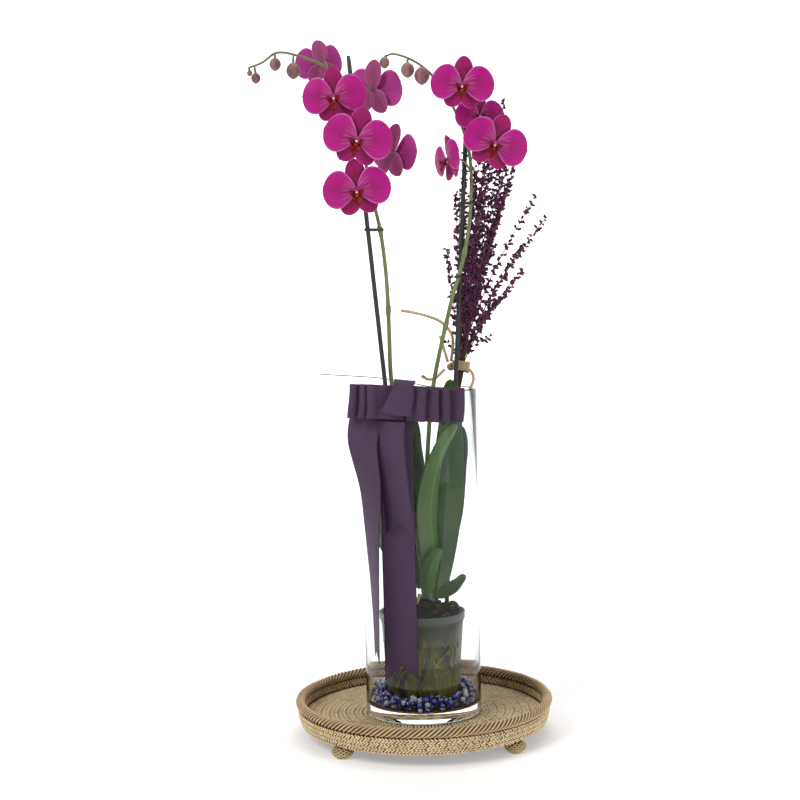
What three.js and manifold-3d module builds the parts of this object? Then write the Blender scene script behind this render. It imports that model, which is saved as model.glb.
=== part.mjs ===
// A moth orchid with two flower spikes in a nursery pot, shown in a tall glass cylinder vase on a round
// wicker tray. A ribbon bow hangs on the front of the vase and a dried purple bundle is tied behind it.
// Millimetres, +Z up. Everything is first placed with the axis of the vase on x = y = 0 and the standing
// surface at z = 0, and the whole group is then moved so that its box stands centred on the origin.
import * as THREE from "three";
import { mergeVertices } from "three/addons/utils/BufferGeometryUtils.js";
import Module from "manifold-3d";

const wasm = await Module();
wasm.setup();

// ---- Driving dimensions -------------------------------------------------------------------------
const GAP = 0.3; // between pieces that touch

const FOOT_HEIGHT = 14.7;
const FOOT_RADIUS = 13.5;
const FOOT_FLAT_RADIUS = 7.5;
const FOOT_INSET = 14; // centres of the feet inside the tray's edge
const FOOT_FIRST_ANGLE = -132; // degrees from +X
const FOOT_COUNT = 4;

const TRAY_RADIUS = 165; // outside of the wall at the rim
const TRAY_WALL_HEIGHT = 21;
const TRAY_WALL = 6;
const TRAY_FLOOR = 5;
const TRAY_FLOOR_LIFT = 6.7; // of the floor's underside above the wall's lower edge
const RIM_HEIGHT = 12.5;
const RIM_WIDTH = 12;

const VASE_RADIUS = 75;
const VASE_HEIGHT = 420;
const VASE_WALL = 4;
const VASE_FLOOR = 13;

const BEAD_DEPTH = 21;

const POT_BOTTOM_RADIUS = 46.5;
const POT_TOP_RADIUS = 53.5;
const POT_HEIGHT = 118;
const POT_WALL = 1.5;
const POT_LIP_HEIGHT = 9;
const POT_LIP = 2.5; // how far the lip stands out

const BARK_BELOW_RIM = 9;
const BARK_MOUND = 22;

const CROWN_X = 8;
const CROWN_Y = -2;
const CROWN_RADIUS = 9.5;
const CROWN_ABOVE_BARK = 24;
const CROWN_IN_BARK = 12;

const LEAF_THICKNESS = 3;

const STAKE_RADIUS = 3;
const STAKE_DEPTH = 90; // into the bark

const STEM_RADIUS = 3;
const STEM_TIP_RADIUS = 1.3;
const PEDICEL_RADIUS = 1.5;

const PETAL_LENGTH = 43;
const PETAL_WIDTH = 44;
const SEPAL_LENGTH = 38;
const SEPAL_WIDTH = 27;
const TEPAL_THICKNESS = 2.2;
const LIP_LENGTH = 17;
const LIP_WIDTH = 13;

const CLIP_HEIGHT = 4;
const CLIP_WALL = 2;

const SPRIG_RADIUS = 1.1;
const HEAD_RADIUS = 4.2;
const BUNDLE_RADIUS = 8;
const BUNDLE_TAIL = 74; // stems below the tie

const TWINE_RADIUS = 2;
const TWINE_KNOT_RADIUS = 6;

const RIBBON_WIDTH = 42;
const RIBBON_THICKNESS = 1.2;

const WIRE_RADIUS = 0.5;

// ---- Heights that follow ------------------------------------------------------------------------
const TRAY_Z = FOOT_HEIGHT + GAP;
const TRAY_FLOOR_TOP = TRAY_Z + TRAY_FLOOR_LIFT + TRAY_FLOOR;
const RIM_Z = TRAY_Z + TRAY_WALL_HEIGHT + GAP;
const VASE_Z = TRAY_FLOOR_TOP + GAP;
const VASE_FLOOR_TOP = VASE_Z + VASE_FLOOR;
const VASE_TOP = VASE_Z + VASE_HEIGHT;
const VASE_INNER = VASE_RADIUS - VASE_WALL;
const POT_Z = VASE_FLOOR_TOP + GAP;
const POT_TOP = POT_Z + POT_HEIGHT;
const BARK_EDGE_Z = POT_TOP - BARK_BELOW_RIM;
const BARK_TOP = BARK_EDGE_Z + BARK_MOUND;
const CROWN_TOP = BARK_TOP + CROWN_ABOVE_BARK;
const BARK_Z = POT_Z + POT_WALL + GAP;

// ---- What the chosen points follow ----------------------------------------------------------------
// The plant's points are given for a crown whose top is at PLANT_LEVEL, and those of the bow, the twine
// and the bundle for a rim at RIM_LEVEL. Each group rises with what carries it.
const PLANT_LEVEL = 195.3;
const RIM_LEVEL = 447;
const plantRise = CROWN_TOP - PLANT_LEVEL;
const rimRise = VASE_TOP - RIM_LEVEL;
// What leans on the glass keeps its share of the way from the axis to the inside of the wall.
const LEAN_RADIUS = 71;
const lean = VASE_INNER / LEAN_RADIUS;

// ---- Finishes -----------------------------------------------------------------------------------
const FINISHES = {
  rattan: { color: 0xb08a55, roughness: 0.7 },
  glass: { color: 0xdfe9ea, roughness: 0.03, transparent: true, opacity: 0.3 },
  beads: { color: 0x24379c, roughness: 0.1 },
  pot: { color: 0x6f7466, roughness: 0.45, transparent: true, opacity: 0.8 },
  bark: { color: 0x3b2a1e, roughness: 0.95 },
  root: { color: 0x4a4238, roughness: 0.8 },
  leaf: { color: 0x3f6b2c, roughness: 0.4 },
  stem: { color: 0x74803f, roughness: 0.5 },
  petal: { color: 0xa5197d, roughness: 0.6 },
  lip: { color: 0x780a14, roughness: 0.45 },
  stake: { color: 0x3a3c3c, roughness: 0.5 },
  clip: { color: 0x1d1f1f, roughness: 0.4 },
  dried: { color: 0x551941, roughness: 0.9 },
  twine: { color: 0xc3a77b, roughness: 0.9 },
  ribbon: { color: 0x4b3c55, roughness: 0.65 },
  wire: { color: 0xb5b7b8, roughness: 0.3, metalness: 0.9 },
};

const model = new THREE.Group();

function material(finish) {
  return new THREE.MeshStandardMaterial(FINISHES[finish]);
}

function add(name, geometry, finish, parent = model) {
  const mesh = new THREE.Mesh(geometry, material(finish));
  mesh.name = name;
  parent.add(mesh);
  return mesh;
}

// ---- Shape helpers ------------------------------------------------------------------------------
const point = (x, y, z) => new THREE.Vector3(x, y, z);
const grown = (x, y, z) => point(x, y, z + plantRise);
const hung = (x, y, z) => point(x, y, z + rimRise);
const tied = (x, y, z) => point(x * lean, y * lean, z + rimRise);
const radians = THREE.MathUtils.degToRad;
const lerp = THREE.MathUtils.lerp;

// Turns the faces of a closed surface outwards.
function outward(geometry) {
  const place = geometry.getAttribute("position");
  const corners = geometry.index.array;
  const [a, b, c] = [point(), point(), point()];
  let volume = 0;
  for (let i = 0; i < corners.length; i += 3) {
    a.fromBufferAttribute(place, corners[i]);
    b.fromBufferAttribute(place, corners[i + 1]);
    c.fromBufferAttribute(place, corners[i + 2]);
    volume += a.dot(b.cross(c));
  }
  if (volume < 0) {
    for (let i = 0; i < corners.length; i += 3) {
      [corners[i + 1], corners[i + 2]] = [corners[i + 2], corners[i + 1]];
    }
  }
  return geometry;
}

// A closed body through a row of rings that have the same number of corners.
function loft(rings) {
  const sides = rings[0].length;
  const middles = [rings[0], rings.at(-1)].map((ring) =>
    ring.reduce((sum, corner) => sum.add(corner), point(0, 0, 0)).divideScalar(sides),
  );
  const corners = [];
  for (let r = 0; r < rings.length - 1; r++) {
    for (let i = 0; i < sides; i++) {
      const a = r * sides + i;
      const b = r * sides + ((i + 1) % sides);
      corners.push(a, b, b + sides, a, b + sides, a + sides);
    }
  }
  const first = rings.length * sides;
  const lastRing = first - sides;
  for (let i = 0; i < sides; i++) {
    const next = (i + 1) % sides;
    corners.push(first, next, i);
    corners.push(first + 1, lastRing + i, lastRing + next);
  }
  const geometry = new THREE.BufferGeometry().setFromPoints([...rings.flat(), ...middles]);
  geometry.setIndex(corners);
  return outward(geometry);
}

// A turned body: its profile of [radius, height] pairs starts and ends on the axis or closes on itself.
function turned(profile, segments) {
  const points = profile.map(([r, z]) => new THREE.Vector2(r, z));
  const lathe = new THREE.LatheGeometry(points, segments).rotateX(Math.PI / 2);
  return outward(lathe);
}

const smooth = (points) => new THREE.CatmullRomCurve3(points);

// A round bar of one thickness along a curve.
function bar(points, radius, sides, steps) {
  const section = new THREE.Shape();
  for (let i = 0; i < sides; i++) {
    const angle = (2 * Math.PI * i) / sides;
    const [x, y] = [radius * Math.cos(angle), radius * Math.sin(angle)];
    if (i === 0) section.moveTo(x, y);
    else section.lineTo(x, y);
  }
  section.closePath();
  return new THREE.ExtrudeGeometry(section, { steps, extrudePath: smooth(points) });
}

// A round bar whose radius changes along it.
function taper(points, radiusAt, sides, steps) {
  const curve = smooth(points);
  const frames = curve.computeFrenetFrames(steps, false);
  const rings = [];
  for (let s = 0; s <= steps; s++) {
    const centre = curve.getPointAt(s / steps);
    const ring = [];
    for (let i = 0; i < sides; i++) {
      const angle = (2 * Math.PI * i) / sides;
      const radius = radiusAt(s / steps);
      ring.push(
        centre
          .clone()
          .addScaledVector(frames.normals[s], radius * Math.cos(angle))
          .addScaledVector(frames.binormals[s], radius * Math.sin(angle)),
      );
    }
    rings.push(ring);
  }
  return loft(rings);
}

// A flat blade along a curve: widthAt gives its width, acrossAt the direction of its width, and fold
// how far its edges rise for each millimetre of half width. Its section is a lens, or a rectangle where
// square is true.
function blade({ points, steps, widthAt, acrossAt, thickness, fold = 0, square = false }) {
  const curve = smooth(points);
  const section = square
    ? [[-1, -1], [1, -1], [1, 1], [-1, 1]]
    : [[-1, 0], [0, -1], [1, 0], [0, 1]];
  const rings = [];
  for (let s = 0; s <= steps; s++) {
    const t = s / steps;
    const along = curve.getTangentAt(t);
    const across = acrossAt(t).clone();
    across.addScaledVector(along, -across.dot(along)).normalize();
    const up = along.clone().cross(across);
    const half = widthAt(t) / 2;
    rings.push(
      section.map(([x, y]) =>
        curve
          .getPointAt(t)
          .addScaledVector(across, x * half)
          .addScaledVector(up, (y * thickness) / 2 + fold * Math.abs(x) * half),
      ),
    );
  }
  return loft(rings);
}

function ball(centre, [rx, ry, rz], segments = 8) {
  return new THREE.SphereGeometry(1, segments, segments - 2)
    .scale(rx, ry, rz)
    .translate(centre.x, centre.y, centre.z);
}

function solid(geometry) {
  const loose = geometry.index ? geometry.toNonIndexed() : geometry;
  const bare = new THREE.BufferGeometry().setAttribute("position", loose.getAttribute("position"));
  const merged = mergeVertices(bare, 1e-3);
  return new wasm.Manifold(
    new wasm.Mesh({
      numProp: 3,
      vertProperties: merged.attributes.position.array,
      triVerts: new Uint32Array(merged.index.array),
    }),
  );
}

function surface(made) {
  const { vertProperties, triVerts, numVert, numProp } = made.getMesh();
  const places = new Float32Array(numVert * 3);
  for (let i = 0; i < numVert; i++) {
    places.set(vertProperties.subarray(i * numProp, i * numProp + 3), i * 3);
  }
  const geometry = new THREE.BufferGeometry();
  geometry.setAttribute("position", new THREE.BufferAttribute(places, 3));
  geometry.setIndex(new THREE.BufferAttribute(new Uint32Array(triVerts), 1));
  return geometry;
}

function joined(pieces) {
  return surface(pieces.map(solid).reduce((whole, piece) => whole.add(piece)));
}

function cut(piece, tools) {
  return surface(tools.map(solid).reduce((left, tool) => left.subtract(tool), solid(piece)));
}

// ---- Tray: four ball feet, a woven basket and a plaited rim ---------------------------------------
function footGeometry() {
  return turned(
    [
      [0, 0],
      [FOOT_FLAT_RADIUS, 0],
      [FOOT_RADIUS * 0.87, FOOT_HEIGHT * 0.22],
      [FOOT_RADIUS, FOOT_HEIGHT * 0.5],
      [FOOT_RADIUS * 0.87, FOOT_HEIGHT * 0.78],
      [FOOT_FLAT_RADIUS, FOOT_HEIGHT],
      [0, FOOT_HEIGHT],
    ],
    12,
  );
}

const footCircle = TRAY_RADIUS - FOOT_INSET;
for (let i = 0; i < FOOT_COUNT; i++) {
  const angle = radians(FOOT_FIRST_ANGLE + (360 * i) / FOOT_COUNT);
  const foot = add(`ball_foot_${i + 1}`, footGeometry(), "rattan");
  foot.position.set(footCircle * Math.cos(angle), footCircle * Math.sin(angle), 0);
}

const trayTop = TRAY_Z + TRAY_WALL_HEIGHT;
const trayUnderside = TRAY_Z + TRAY_FLOOR_LIFT;
add(
  "tray_basket",
  turned(
    [
      [0, trayUnderside],
      [TRAY_RADIUS - 29, trayUnderside],
      [TRAY_RADIUS - 25, TRAY_Z],
      [TRAY_RADIUS - 5, TRAY_Z],
      [TRAY_RADIUS - 1.5, TRAY_Z + 4],
      [TRAY_RADIUS, trayTop],
      [TRAY_RADIUS - TRAY_WALL, trayTop],
      [TRAY_RADIUS - TRAY_WALL - 2.5, TRAY_FLOOR_TOP],
      [0, TRAY_FLOOR_TOP],
    ],
    40,
  ),
  "rattan",
);

function rimProfile() {
  const middle = TRAY_RADIUS - TRAY_WALL / 2;
  const profile = [];
  const sides = 6;
  for (let i = 0; i <= sides; i++) {
    const angle = (2 * Math.PI * (i + 0.5)) / sides;
    const radius = middle + (RIM_WIDTH / 2) * Math.cos(angle);
    const height = RIM_Z + (RIM_HEIGHT / 2) * (1 + Math.sin(angle) / Math.cos(Math.PI / sides) * 0.98);
    profile.push([radius, Math.max(height, RIM_Z)]);
  }
  return profile;
}
add("tray_rim", turned(rimProfile(), 40), "rattan");

// ---- Vase, beads, nursery pot and bark ------------------------------------------------------------
add(
  "glass_vase",
  turned(
    [
      [0, VASE_Z],
      [VASE_RADIUS - 2, VASE_Z],
      [VASE_RADIUS, VASE_Z + 2],
      [VASE_RADIUS, VASE_TOP],
      [VASE_INNER, VASE_TOP],
      [VASE_INNER, VASE_FLOOR_TOP + 2],
      [VASE_INNER - 2, VASE_FLOOR_TOP],
      [0, VASE_FLOOR_TOP],
    ],
    40,
  ),
  "glass",
);

const beadInner = POT_BOTTOM_RADIUS + 2;
const beadOuter = VASE_INNER - GAP - 2;
const beadMiddle = (beadInner + beadOuter) / 2;
add(
  "bead_bed",
  turned(
    [
      [beadInner, VASE_FLOOR_TOP + GAP],
      [beadOuter, VASE_FLOOR_TOP + GAP],
      [beadOuter + 1.5, VASE_FLOOR_TOP + BEAD_DEPTH * 0.4],
      [beadOuter - 2, VASE_FLOOR_TOP + BEAD_DEPTH * 0.85],
      [beadMiddle, VASE_FLOOR_TOP + BEAD_DEPTH],
      [beadInner + 1.5, VASE_FLOOR_TOP + BEAD_DEPTH * 0.85],
      [beadInner, VASE_FLOOR_TOP + GAP],
    ],
    24,
  ),
  "beads",
);

const lipZ = POT_TOP - POT_LIP_HEIGHT;
add(
  "nursery_pot",
  turned(
    [
      [0, POT_Z],
      [POT_BOTTOM_RADIUS, POT_Z],
      [POT_TOP_RADIUS, lipZ],
      [POT_TOP_RADIUS + POT_LIP, lipZ],
      [POT_TOP_RADIUS + POT_LIP, POT_TOP],
      [POT_TOP_RADIUS + POT_LIP - POT_WALL, POT_TOP],
      [POT_TOP_RADIUS - POT_WALL, lipZ],
      [POT_BOTTOM_RADIUS - POT_WALL, POT_Z + POT_WALL],
      [0, POT_Z + POT_WALL],
    ],
    28,
  ),
  "pot",
);

// Height of the bark at a place: a mound with chunky waves.
function barkHeight(x, y) {
  const share = Math.hypot(x, y) / (POT_TOP_RADIUS - POT_WALL);
  const waves = 1.6 * Math.sin(x / 6.5 + 1) * Math.cos(y / 7.5);
  return BARK_EDGE_Z + BARK_MOUND * (1 - share * share) + waves * (1 - share);
}

function barkGeometry() {
  const inside = (z) =>
    lerp(POT_BOTTOM_RADIUS, POT_TOP_RADIUS, (z - POT_Z) / (lipZ - POT_Z)) - POT_WALL - GAP - 0.4;
  const profile = [[0, BARK_Z], [inside(BARK_Z), BARK_Z]];
  const edge = inside(BARK_EDGE_Z - 4);
  profile.push([edge, BARK_EDGE_Z - 4]);
  const rings = 4;
  for (let i = 0; i <= rings; i++) profile.push([(edge - 1) * (1 - i / rings), BARK_EDGE_Z]);
  const geometry = turned(profile, 20);
  const place = geometry.getAttribute("position");
  for (let i = 0; i < place.count; i++) {
    if (place.getZ(i) > BARK_EDGE_Z - 1) {
      place.setZ(i, barkHeight(place.getX(i), place.getY(i)));
    }
  }
  return geometry;
}

// ---- Stakes ---------------------------------------------------------------------------------------
// Each stake runs straight from the bark through a point at the rim's height to its top.
const STAKES = {
  left: { foot: point(-8, 0, BARK_TOP - STAKE_DEPTH), top: grown(-81, -3, 872) },
  right: { foot: point(27.5, 8, BARK_TOP - STAKE_DEPTH), top: grown(68.5, 7, 800) },
};

function stakeGeometry({ foot, top }, extra = 0) {
  const reach = top.clone().sub(foot).normalize().multiplyScalar(extra);
  return bar([foot.clone().sub(reach), top.clone().add(reach)], STAKE_RADIUS + extra, 10, 1);
}

for (const [side, stake] of Object.entries(STAKES)) {
  add(`stake_${side}`, stakeGeometry(stake), "stake");
}

// ---- Crown, bark and roots ------------------------------------------------------------------------
function crownGeometry(extra = 0) {
  const low = BARK_TOP - CROWN_IN_BARK - extra;
  const wide = CROWN_RADIUS + extra;
  return turned(
    [
      [0, low],
      [wide * 0.8, low],
      [wide, low + CROWN_IN_BARK],
      [wide * 0.95, CROWN_TOP + extra],
      [0, CROWN_TOP + extra],
    ],
    12,
  ).translate(CROWN_X, CROWN_Y, 0);
}
add("plant_crown", crownGeometry(), "stem");

add(
  "bark_mix",
  cut(barkGeometry(), [
    crownGeometry(GAP),
    stakeGeometry(STAKES.left, GAP),
    stakeGeometry(STAKES.right, GAP),
  ]),
  "bark",
);

const onBark = (x, y, lift) => point(x, y, barkHeight(x, y) + lift);
add(
  "root_dark",
  bar([onBark(32, -15, 4), onBark(38, -18, 15), onBark(44, -19, 17), onBark(47, -20, 8)], 2, 6, 6),
  "root",
);
add(
  "root_pale",
  bar([onBark(-3, -16, 14), onBark(-5, -20, 8), onBark(-10, -25, 4), onBark(-18, -28, 4)], 2, 6, 6),
  "root",
);

// ---- Leaves ---------------------------------------------------------------------------------------
// A strap leaf: its base starts on the crown, and it is widest past its middle.
const leafShare = (t) => 0.3 + 0.7 * Math.sin(Math.PI * (0.05 + 0.95 * t)) ** 0.9 - 0.24 * t ** 4;
const LEAVES = [
  {
    name: "leaf_front",
    points: [[14.5, -13.5, 190], [14, -24, 235], [14, -34, 300], [28, -38, 360], [48, -32, 400]],
    across: [1, 0.1, 0],
    width: 34,
  },
  {
    name: "leaf_right",
    points: [[14, 9.5, 190], [20, 19, 225], [34, 28, 270], [44, 29, 320], [53, 29, 358], [58, 30, 388]],
    across: [0.9, -0.43, 0],
    width: 40,
  },
  {
    name: "leaf_tall",
    points: [[21.5, -9, 192], [27, -11, 240], [33, -12, 300], [39, -11, 370], [42, -9, 425], [41, -8, 459]],
    across: [0.98, -0.1, 0],
    width: 30,
  },
  {
    name: "leaf_left",
    points: [[-1.5, -11.5, 190], [-14, -19.5, 210], [-40, -13, 250], [-54, -6, 310], [-55, -6, 360], [-52, -8, 392]],
    across: [0.3, 0.94, 0],
    width: 36,
  },
  {
    name: "leaf_low",
    points: [[19.5, -9, 181], [34, -13, 186], [46, -13, 195], [56, -12, 206]],
    across: [0.2, 0.98, 0.1],
    width: 17,
  },
  {
    name: "leaf_inner",
    points: [[6, -14, 181], [8, -25, 204], [14, -34, 228], [25, -38, 245]],
    across: [1, 0, 0],
    width: 22,
  },
  {
    name: "leaf_back",
    points: [[0, 9.5, 192], [-11, 24, 235], [-19, 37, 300], [-25, 43, 360], [-30, 43, 400]],
    across: [0.9, 0.4, 0],
    width: 40,
  },
];

// A leaf keeps its base on the crown, and its tip keeps its share of the way to the glass.
const leafPoint = ([x, y, z], i, { length }) => {
  const share = lerp(1, lean, i / (length - 1));
  return grown(x * share, y * share, z);
};
for (const { name, points, across, width } of LEAVES) {
  const direction = point(...across);
  const geometry = blade({
    points: points.map(leafPoint),
    steps: 8,
    widthAt: (t) => width * lerp(1, Math.min(1, lean), Math.min(1, 3 * t)) * leafShare(t),
    acrossAt: () => direction,
    thickness: LEAF_THICKNESS,
    fold: 0.18,
  });
  add(name, geometry, "leaf");
}

// ---- Flowers --------------------------------------------------------------------------------------
// A flower is modelled facing +Z with its dorsal sepal along +Y, and its group turns it to its facing.
const petalShare = (t) =>
  t > 0.58 ? Math.sqrt(Math.max(0.01, 1 - ((t - 0.58) / 0.43) ** 2)) : 0.12 + 0.88 * Math.sin((t / 0.58) * (Math.PI / 2));
const sepalShare = (t) => Math.sin(Math.PI * (0.07 + 0.88 * t)) ** 0.7;
const HUB_BACK = -4;

function tepal({ angle, length, width, share, lift, bow, steps }) {
  const along = point(Math.cos(radians(angle)), Math.sin(radians(angle)), 0);
  const across = point(-along.y, along.x, 0);
  const at = (reach, z) => along.clone().multiplyScalar(reach).setZ(z);
  return blade({
    points: [at(0.5, lift), at(length * 0.5, lift + bow), at(length, lift + bow * 0.2)],
    steps,
    widthAt: (t) => width * share(t),
    acrossAt: () => across,
    thickness: TEPAL_THICKNESS,
  });
}

function tepalsGeometry(open) {
  const petal = { length: PETAL_LENGTH, width: PETAL_WIDTH, share: petalShare, lift: 1.2, steps: 4 };
  const sepal = { length: SEPAL_LENGTH, width: SEPAL_WIDTH, share: sepalShare, lift: -0.6, steps: 3 };
  const petals = [12, 168].map((angle) => tepal({ ...petal, angle, bow: 3 * open }));
  const sepals = [90, -52, -128].map((angle) => tepal({ ...sepal, angle, bow: -1.5 }));
  const column = ball(point(0, 0, 1.5), [3.4, 3.4, 5.5], 6);
  return joined([column, ...petals, ...sepals]);
}

function lipGeometry() {
  const root = point(0, -5.5, 6);
  const lobe = (dx, dy, dz, width) =>
    blade({
      points: [
        root,
        root.clone().add(point(dx * 0.5, dy * 0.5, dz * 0.8)),
        root.clone().add(point(dx, dy, dz)),
      ],
      steps: 2,
      widthAt: (t) => width * (0.45 + 0.55 * Math.sin(Math.PI * t)),
      acrossAt: () => point(dx === 0 ? 1 : 0.3, dx === 0 ? 0 : Math.sign(dx), 0.2),
      thickness: 2,
    });
  return joined([
    lobe(0, -LIP_LENGTH * 0.8, LIP_LENGTH * 0.45, LIP_WIDTH),
    lobe(-LIP_WIDTH * 0.55, -1, LIP_LENGTH * 0.4, LIP_WIDTH * 0.6),
    lobe(LIP_WIDTH * 0.55, -1, LIP_LENGTH * 0.4, LIP_WIDTH * 0.6),
  ]);
}

// Where each flower's centre is, which way it faces, how far it is rolled, its size and its openness.
const FLOWERS = {
  left: [
    { at: [-98, -34, 817], facing: [-0.12, -1, -0.1], roll: 4, size: 0.93, open: 1 },
    { at: [-69, -52, 762], facing: [-0.1, -1, -0.15], roll: -12, size: 1.0, open: 1 },
    { at: [-72, -38, 700], facing: [-0.05, -1, -0.1], roll: 6, size: 0.98, open: 1 },
    { at: [-50, 26, 834], facing: [0.5, 0.85, 0.1], roll: 8, size: 0.95, open: 1 },
    { at: [-26, 22, 752], facing: [0.72, 0.7, -0.05], roll: 10, size: 0.95, open: 1 },
    { at: [-118, 24, 868], facing: [-0.35, 0.9, 0.2], roll: -10, size: 0.8, open: 0.6 },
  ],
  right: [
    { at: [62, -40, 827], facing: [-0.05, -1, -0.05], roll: -5, size: 0.9, open: 1 },
    { at: [102, -34, 755], facing: [0.08, -1, -0.12], roll: -22, size: 0.95, open: 1 },
    { at: [84, -12, 792], facing: [0.1, -1, 0.1], roll: 0, size: 0.72, open: 1 },
    { at: [44, -12, 738], facing: [-0.9, -0.42, -0.1], roll: 8, size: 0.8, open: 1 },
  ],
};

for (const [side, flowers] of Object.entries(FLOWERS)) {
  flowers.forEach((flower, i) => {
    const group = new THREE.Group();
    group.up.set(0, 0, 1);
    group.position.copy(grown(...flower.at));
    group.lookAt(grown(...flower.at).add(point(...flower.facing)));
    group.rotateZ(radians(flower.roll));
    group.scale.setScalar(flower.size);
    group.updateMatrix();
    flower.back = point(0, 0, HUB_BACK - GAP / flower.size).applyMatrix4(group.matrix);
    add(`flower_${side}_${i + 1}`, tepalsGeometry(flower.open), "petal", group);
    add(`lip_${side}_${i + 1}`, lipGeometry(), "lip", group);
    model.add(group);
  });
}

// ---- Spikes: stem, pedicels and closed buds grown as one ------------------------------------------
const SPIKES = {
  left: {
    points: [
      [3, -1, PLANT_LEVEL + 3 * GAP], [-6, 4, 260], [-19, 6, 340], [-30, 5.5, 420], [-35, 5, 465], [-36, 4, 516],
      [-37, 3.5, 560], [-39, 3, 600], [-45, 3, 652], [-51, 4, 680], [-59, 5, 722], [-69, 5, 770],
      [-81, 5, 812], [-95, 3, 842], [-111, -3, 859], [-143, -3, 873], [-172, -3, 878], [-191, -3, 866],
      [-208, -3, 860],
    ],
    buds: [[-151, -8, 854, 10.5], [-174, -6, 863, 8.5], [-199, -6, 846, 7], [-207, -4, 853, 4]],
  },
  right: {
    points: [
      [12, -3.5, PLANT_LEVEL + GAP], [8, -4, 260], [9, -4, 330], [14, -4, 400], [19, -4, 447], [27, -3, 487],
      [37, -2, 528], [48, -1, 571], [54, -0.8, 588], [62, 0, 618], [67, 0, 642], [71, 1, 675],
      [72, 2, 738], [63, 1, 778], [49, -1, 809], [26, -4, 844], [11, -5, 858], [-9, -5, 869],
      [-27, -5, 873], [-36, -5, 868],
    ],
    buds: [[12, -10, 844, 11.5], [-6, -8, 852, 10], [-35, -7, 862, 7.5]],
  },
};

const stemPath = ({ points }) => points.map((place) => grown(...place));
const stemRadius = (t) => lerp(STEM_RADIUS, STEM_TIP_RADIUS, t * t);

function stemGeometry(spike, extra = 0) {
  return taper(stemPath(spike), (t) => stemRadius(t) + extra, 6, 30);
}

function nearestOnStem(spike, target) {
  const curve = smooth(stemPath(spike));
  const samples = curve.getSpacedPoints(160);
  return samples.reduce((best, sample) =>
    sample.distanceTo(target) < best.distanceTo(target) ? sample : best,
  );
}

function pedicelTo(spike, flower) {
  const facing = point(...flower.facing).normalize();
  const root = nearestOnStem(spike, flower.back.clone().add(point(0, 0, -14)));
  const approach = flower.back.clone().addScaledVector(facing, -9);
  const middle = root.clone().lerp(approach, 0.5).add(point(0, 0, 5));
  return bar([root, middle, approach, flower.back], PEDICEL_RADIUS, 5, 4);
}

function budPieces(spike, [x, y, z, radius]) {
  const centre = grown(x, y, z);
  const root = nearestOnStem(spike, grown(x, y, z + radius * 1.5));
  const crown = grown(x, y, z + radius * 0.6);
  const middle = root.clone().lerp(crown, 0.5).add(point(0, -1.5, 1));
  return [
    ball(centre, [radius * 0.88, radius * 0.8, radius], 6),
    bar([root, middle, crown], PEDICEL_RADIUS, 5, 2),
  ];
}

for (const [side, spike] of Object.entries(SPIKES)) {
  const pieces = [
    stemGeometry(spike),
    ...FLOWERS[side].map((flower) => pedicelTo(spike, flower)),
    ...spike.buds.flatMap((bud) => budPieces(spike, bud)),
  ];
  add(`spike_${side}`, joined(pieces), "stem");
}

// ---- Clips that hold the stems to the stakes ------------------------------------------------------
function atHeight(points, z) {
  const samples = smooth(points).getSpacedPoints(400);
  return samples.reduce((best, sample) =>
    Math.abs(sample.z - z) < Math.abs(best.z - z) ? sample : best,
  );
}

function clipGeometry(side, level) {
  const z = level + plantRise;
  const stake = atHeight([STAKES[side].foot, STAKES[side].top], z);
  const stem = atHeight(stemPath(SPIKES[side]), z);
  const reach = STAKE_RADIUS + GAP + CLIP_WALL;
  const between = Math.atan2(stem.y - stake.y, stem.x - stake.x);
  const length = Math.hypot(stem.x - stake.x, stem.y - stake.y);
  const outline = new THREE.Shape();
  outline.absarc(length, 0, reach, -Math.PI / 2, Math.PI / 2, false);
  outline.absarc(0, 0, reach, Math.PI / 2, (3 * Math.PI) / 2, false);
  const plate = new THREE.ExtrudeGeometry(outline, {
    depth: CLIP_HEIGHT,
    bevelEnabled: false,
    curveSegments: 4,
  });
  plate.rotateZ(between).translate(stake.x, stake.y, z - CLIP_HEIGHT / 2);
  return cut(plate, [stakeGeometry(STAKES[side], GAP), stemGeometry(SPIKES[side], GAP)]);
}

add("clip_left", clipGeometry("left", 652), "clip");
add("clip_right_low", clipGeometry("right", 590), "clip");
add("clip_right_high", clipGeometry("right", 684), "clip");

// ---- Dried bundle: sprigs that fan out above the tie ----------------------------------------------
const TIE = tied(56, 29, 474);
const BUNDLE_END = TIE.clone().add(point(-14, -1, -BUNDLE_TAIL));
// Offsets from the tie.
const SPRIG_TIPS = [
  [-20, -7, 34], [-16, -5, 152], [-2, 11, 226], [10, 17, 278], [26, 15, 251], [42, 17, 301],
  [64, 11, 348], [60, 25, 216], [78, 15, 268], [114, 11, 191], [86, 23, 158], [72, 13, 106],
  [43, 7, 40],
];

// Heads swell out of a sprig's upper part one after another.
function sprigRadius(t) {
  const bare = 0.22;
  if (t < bare) return SPRIG_RADIUS;
  const swell = Math.sin(((t - bare) / (1 - bare)) * Math.PI * 4) ** 2;
  return lerp(SPRIG_RADIUS, HEAD_RADIUS * (1 - 0.45 * t), swell);
}

function sprigGeometry([x, y, z], i) {
  const spread = radians(137.5 * i);
  const foot = TIE.clone().add(point(3 * Math.cos(spread), 3 * Math.sin(spread), -3));
  const tip = TIE.clone().add(point(x, y, z));
  const out = tip.x - foot.x;
  const neck = foot.clone().add(point(out * 0.01, 0.3, 14));
  const middle = neck.clone().lerp(tip, 0.5).add(point(-out * 0.06, 4, 6));
  return taper([foot, neck, middle, tip], sprigRadius, 4, 12);
}

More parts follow.
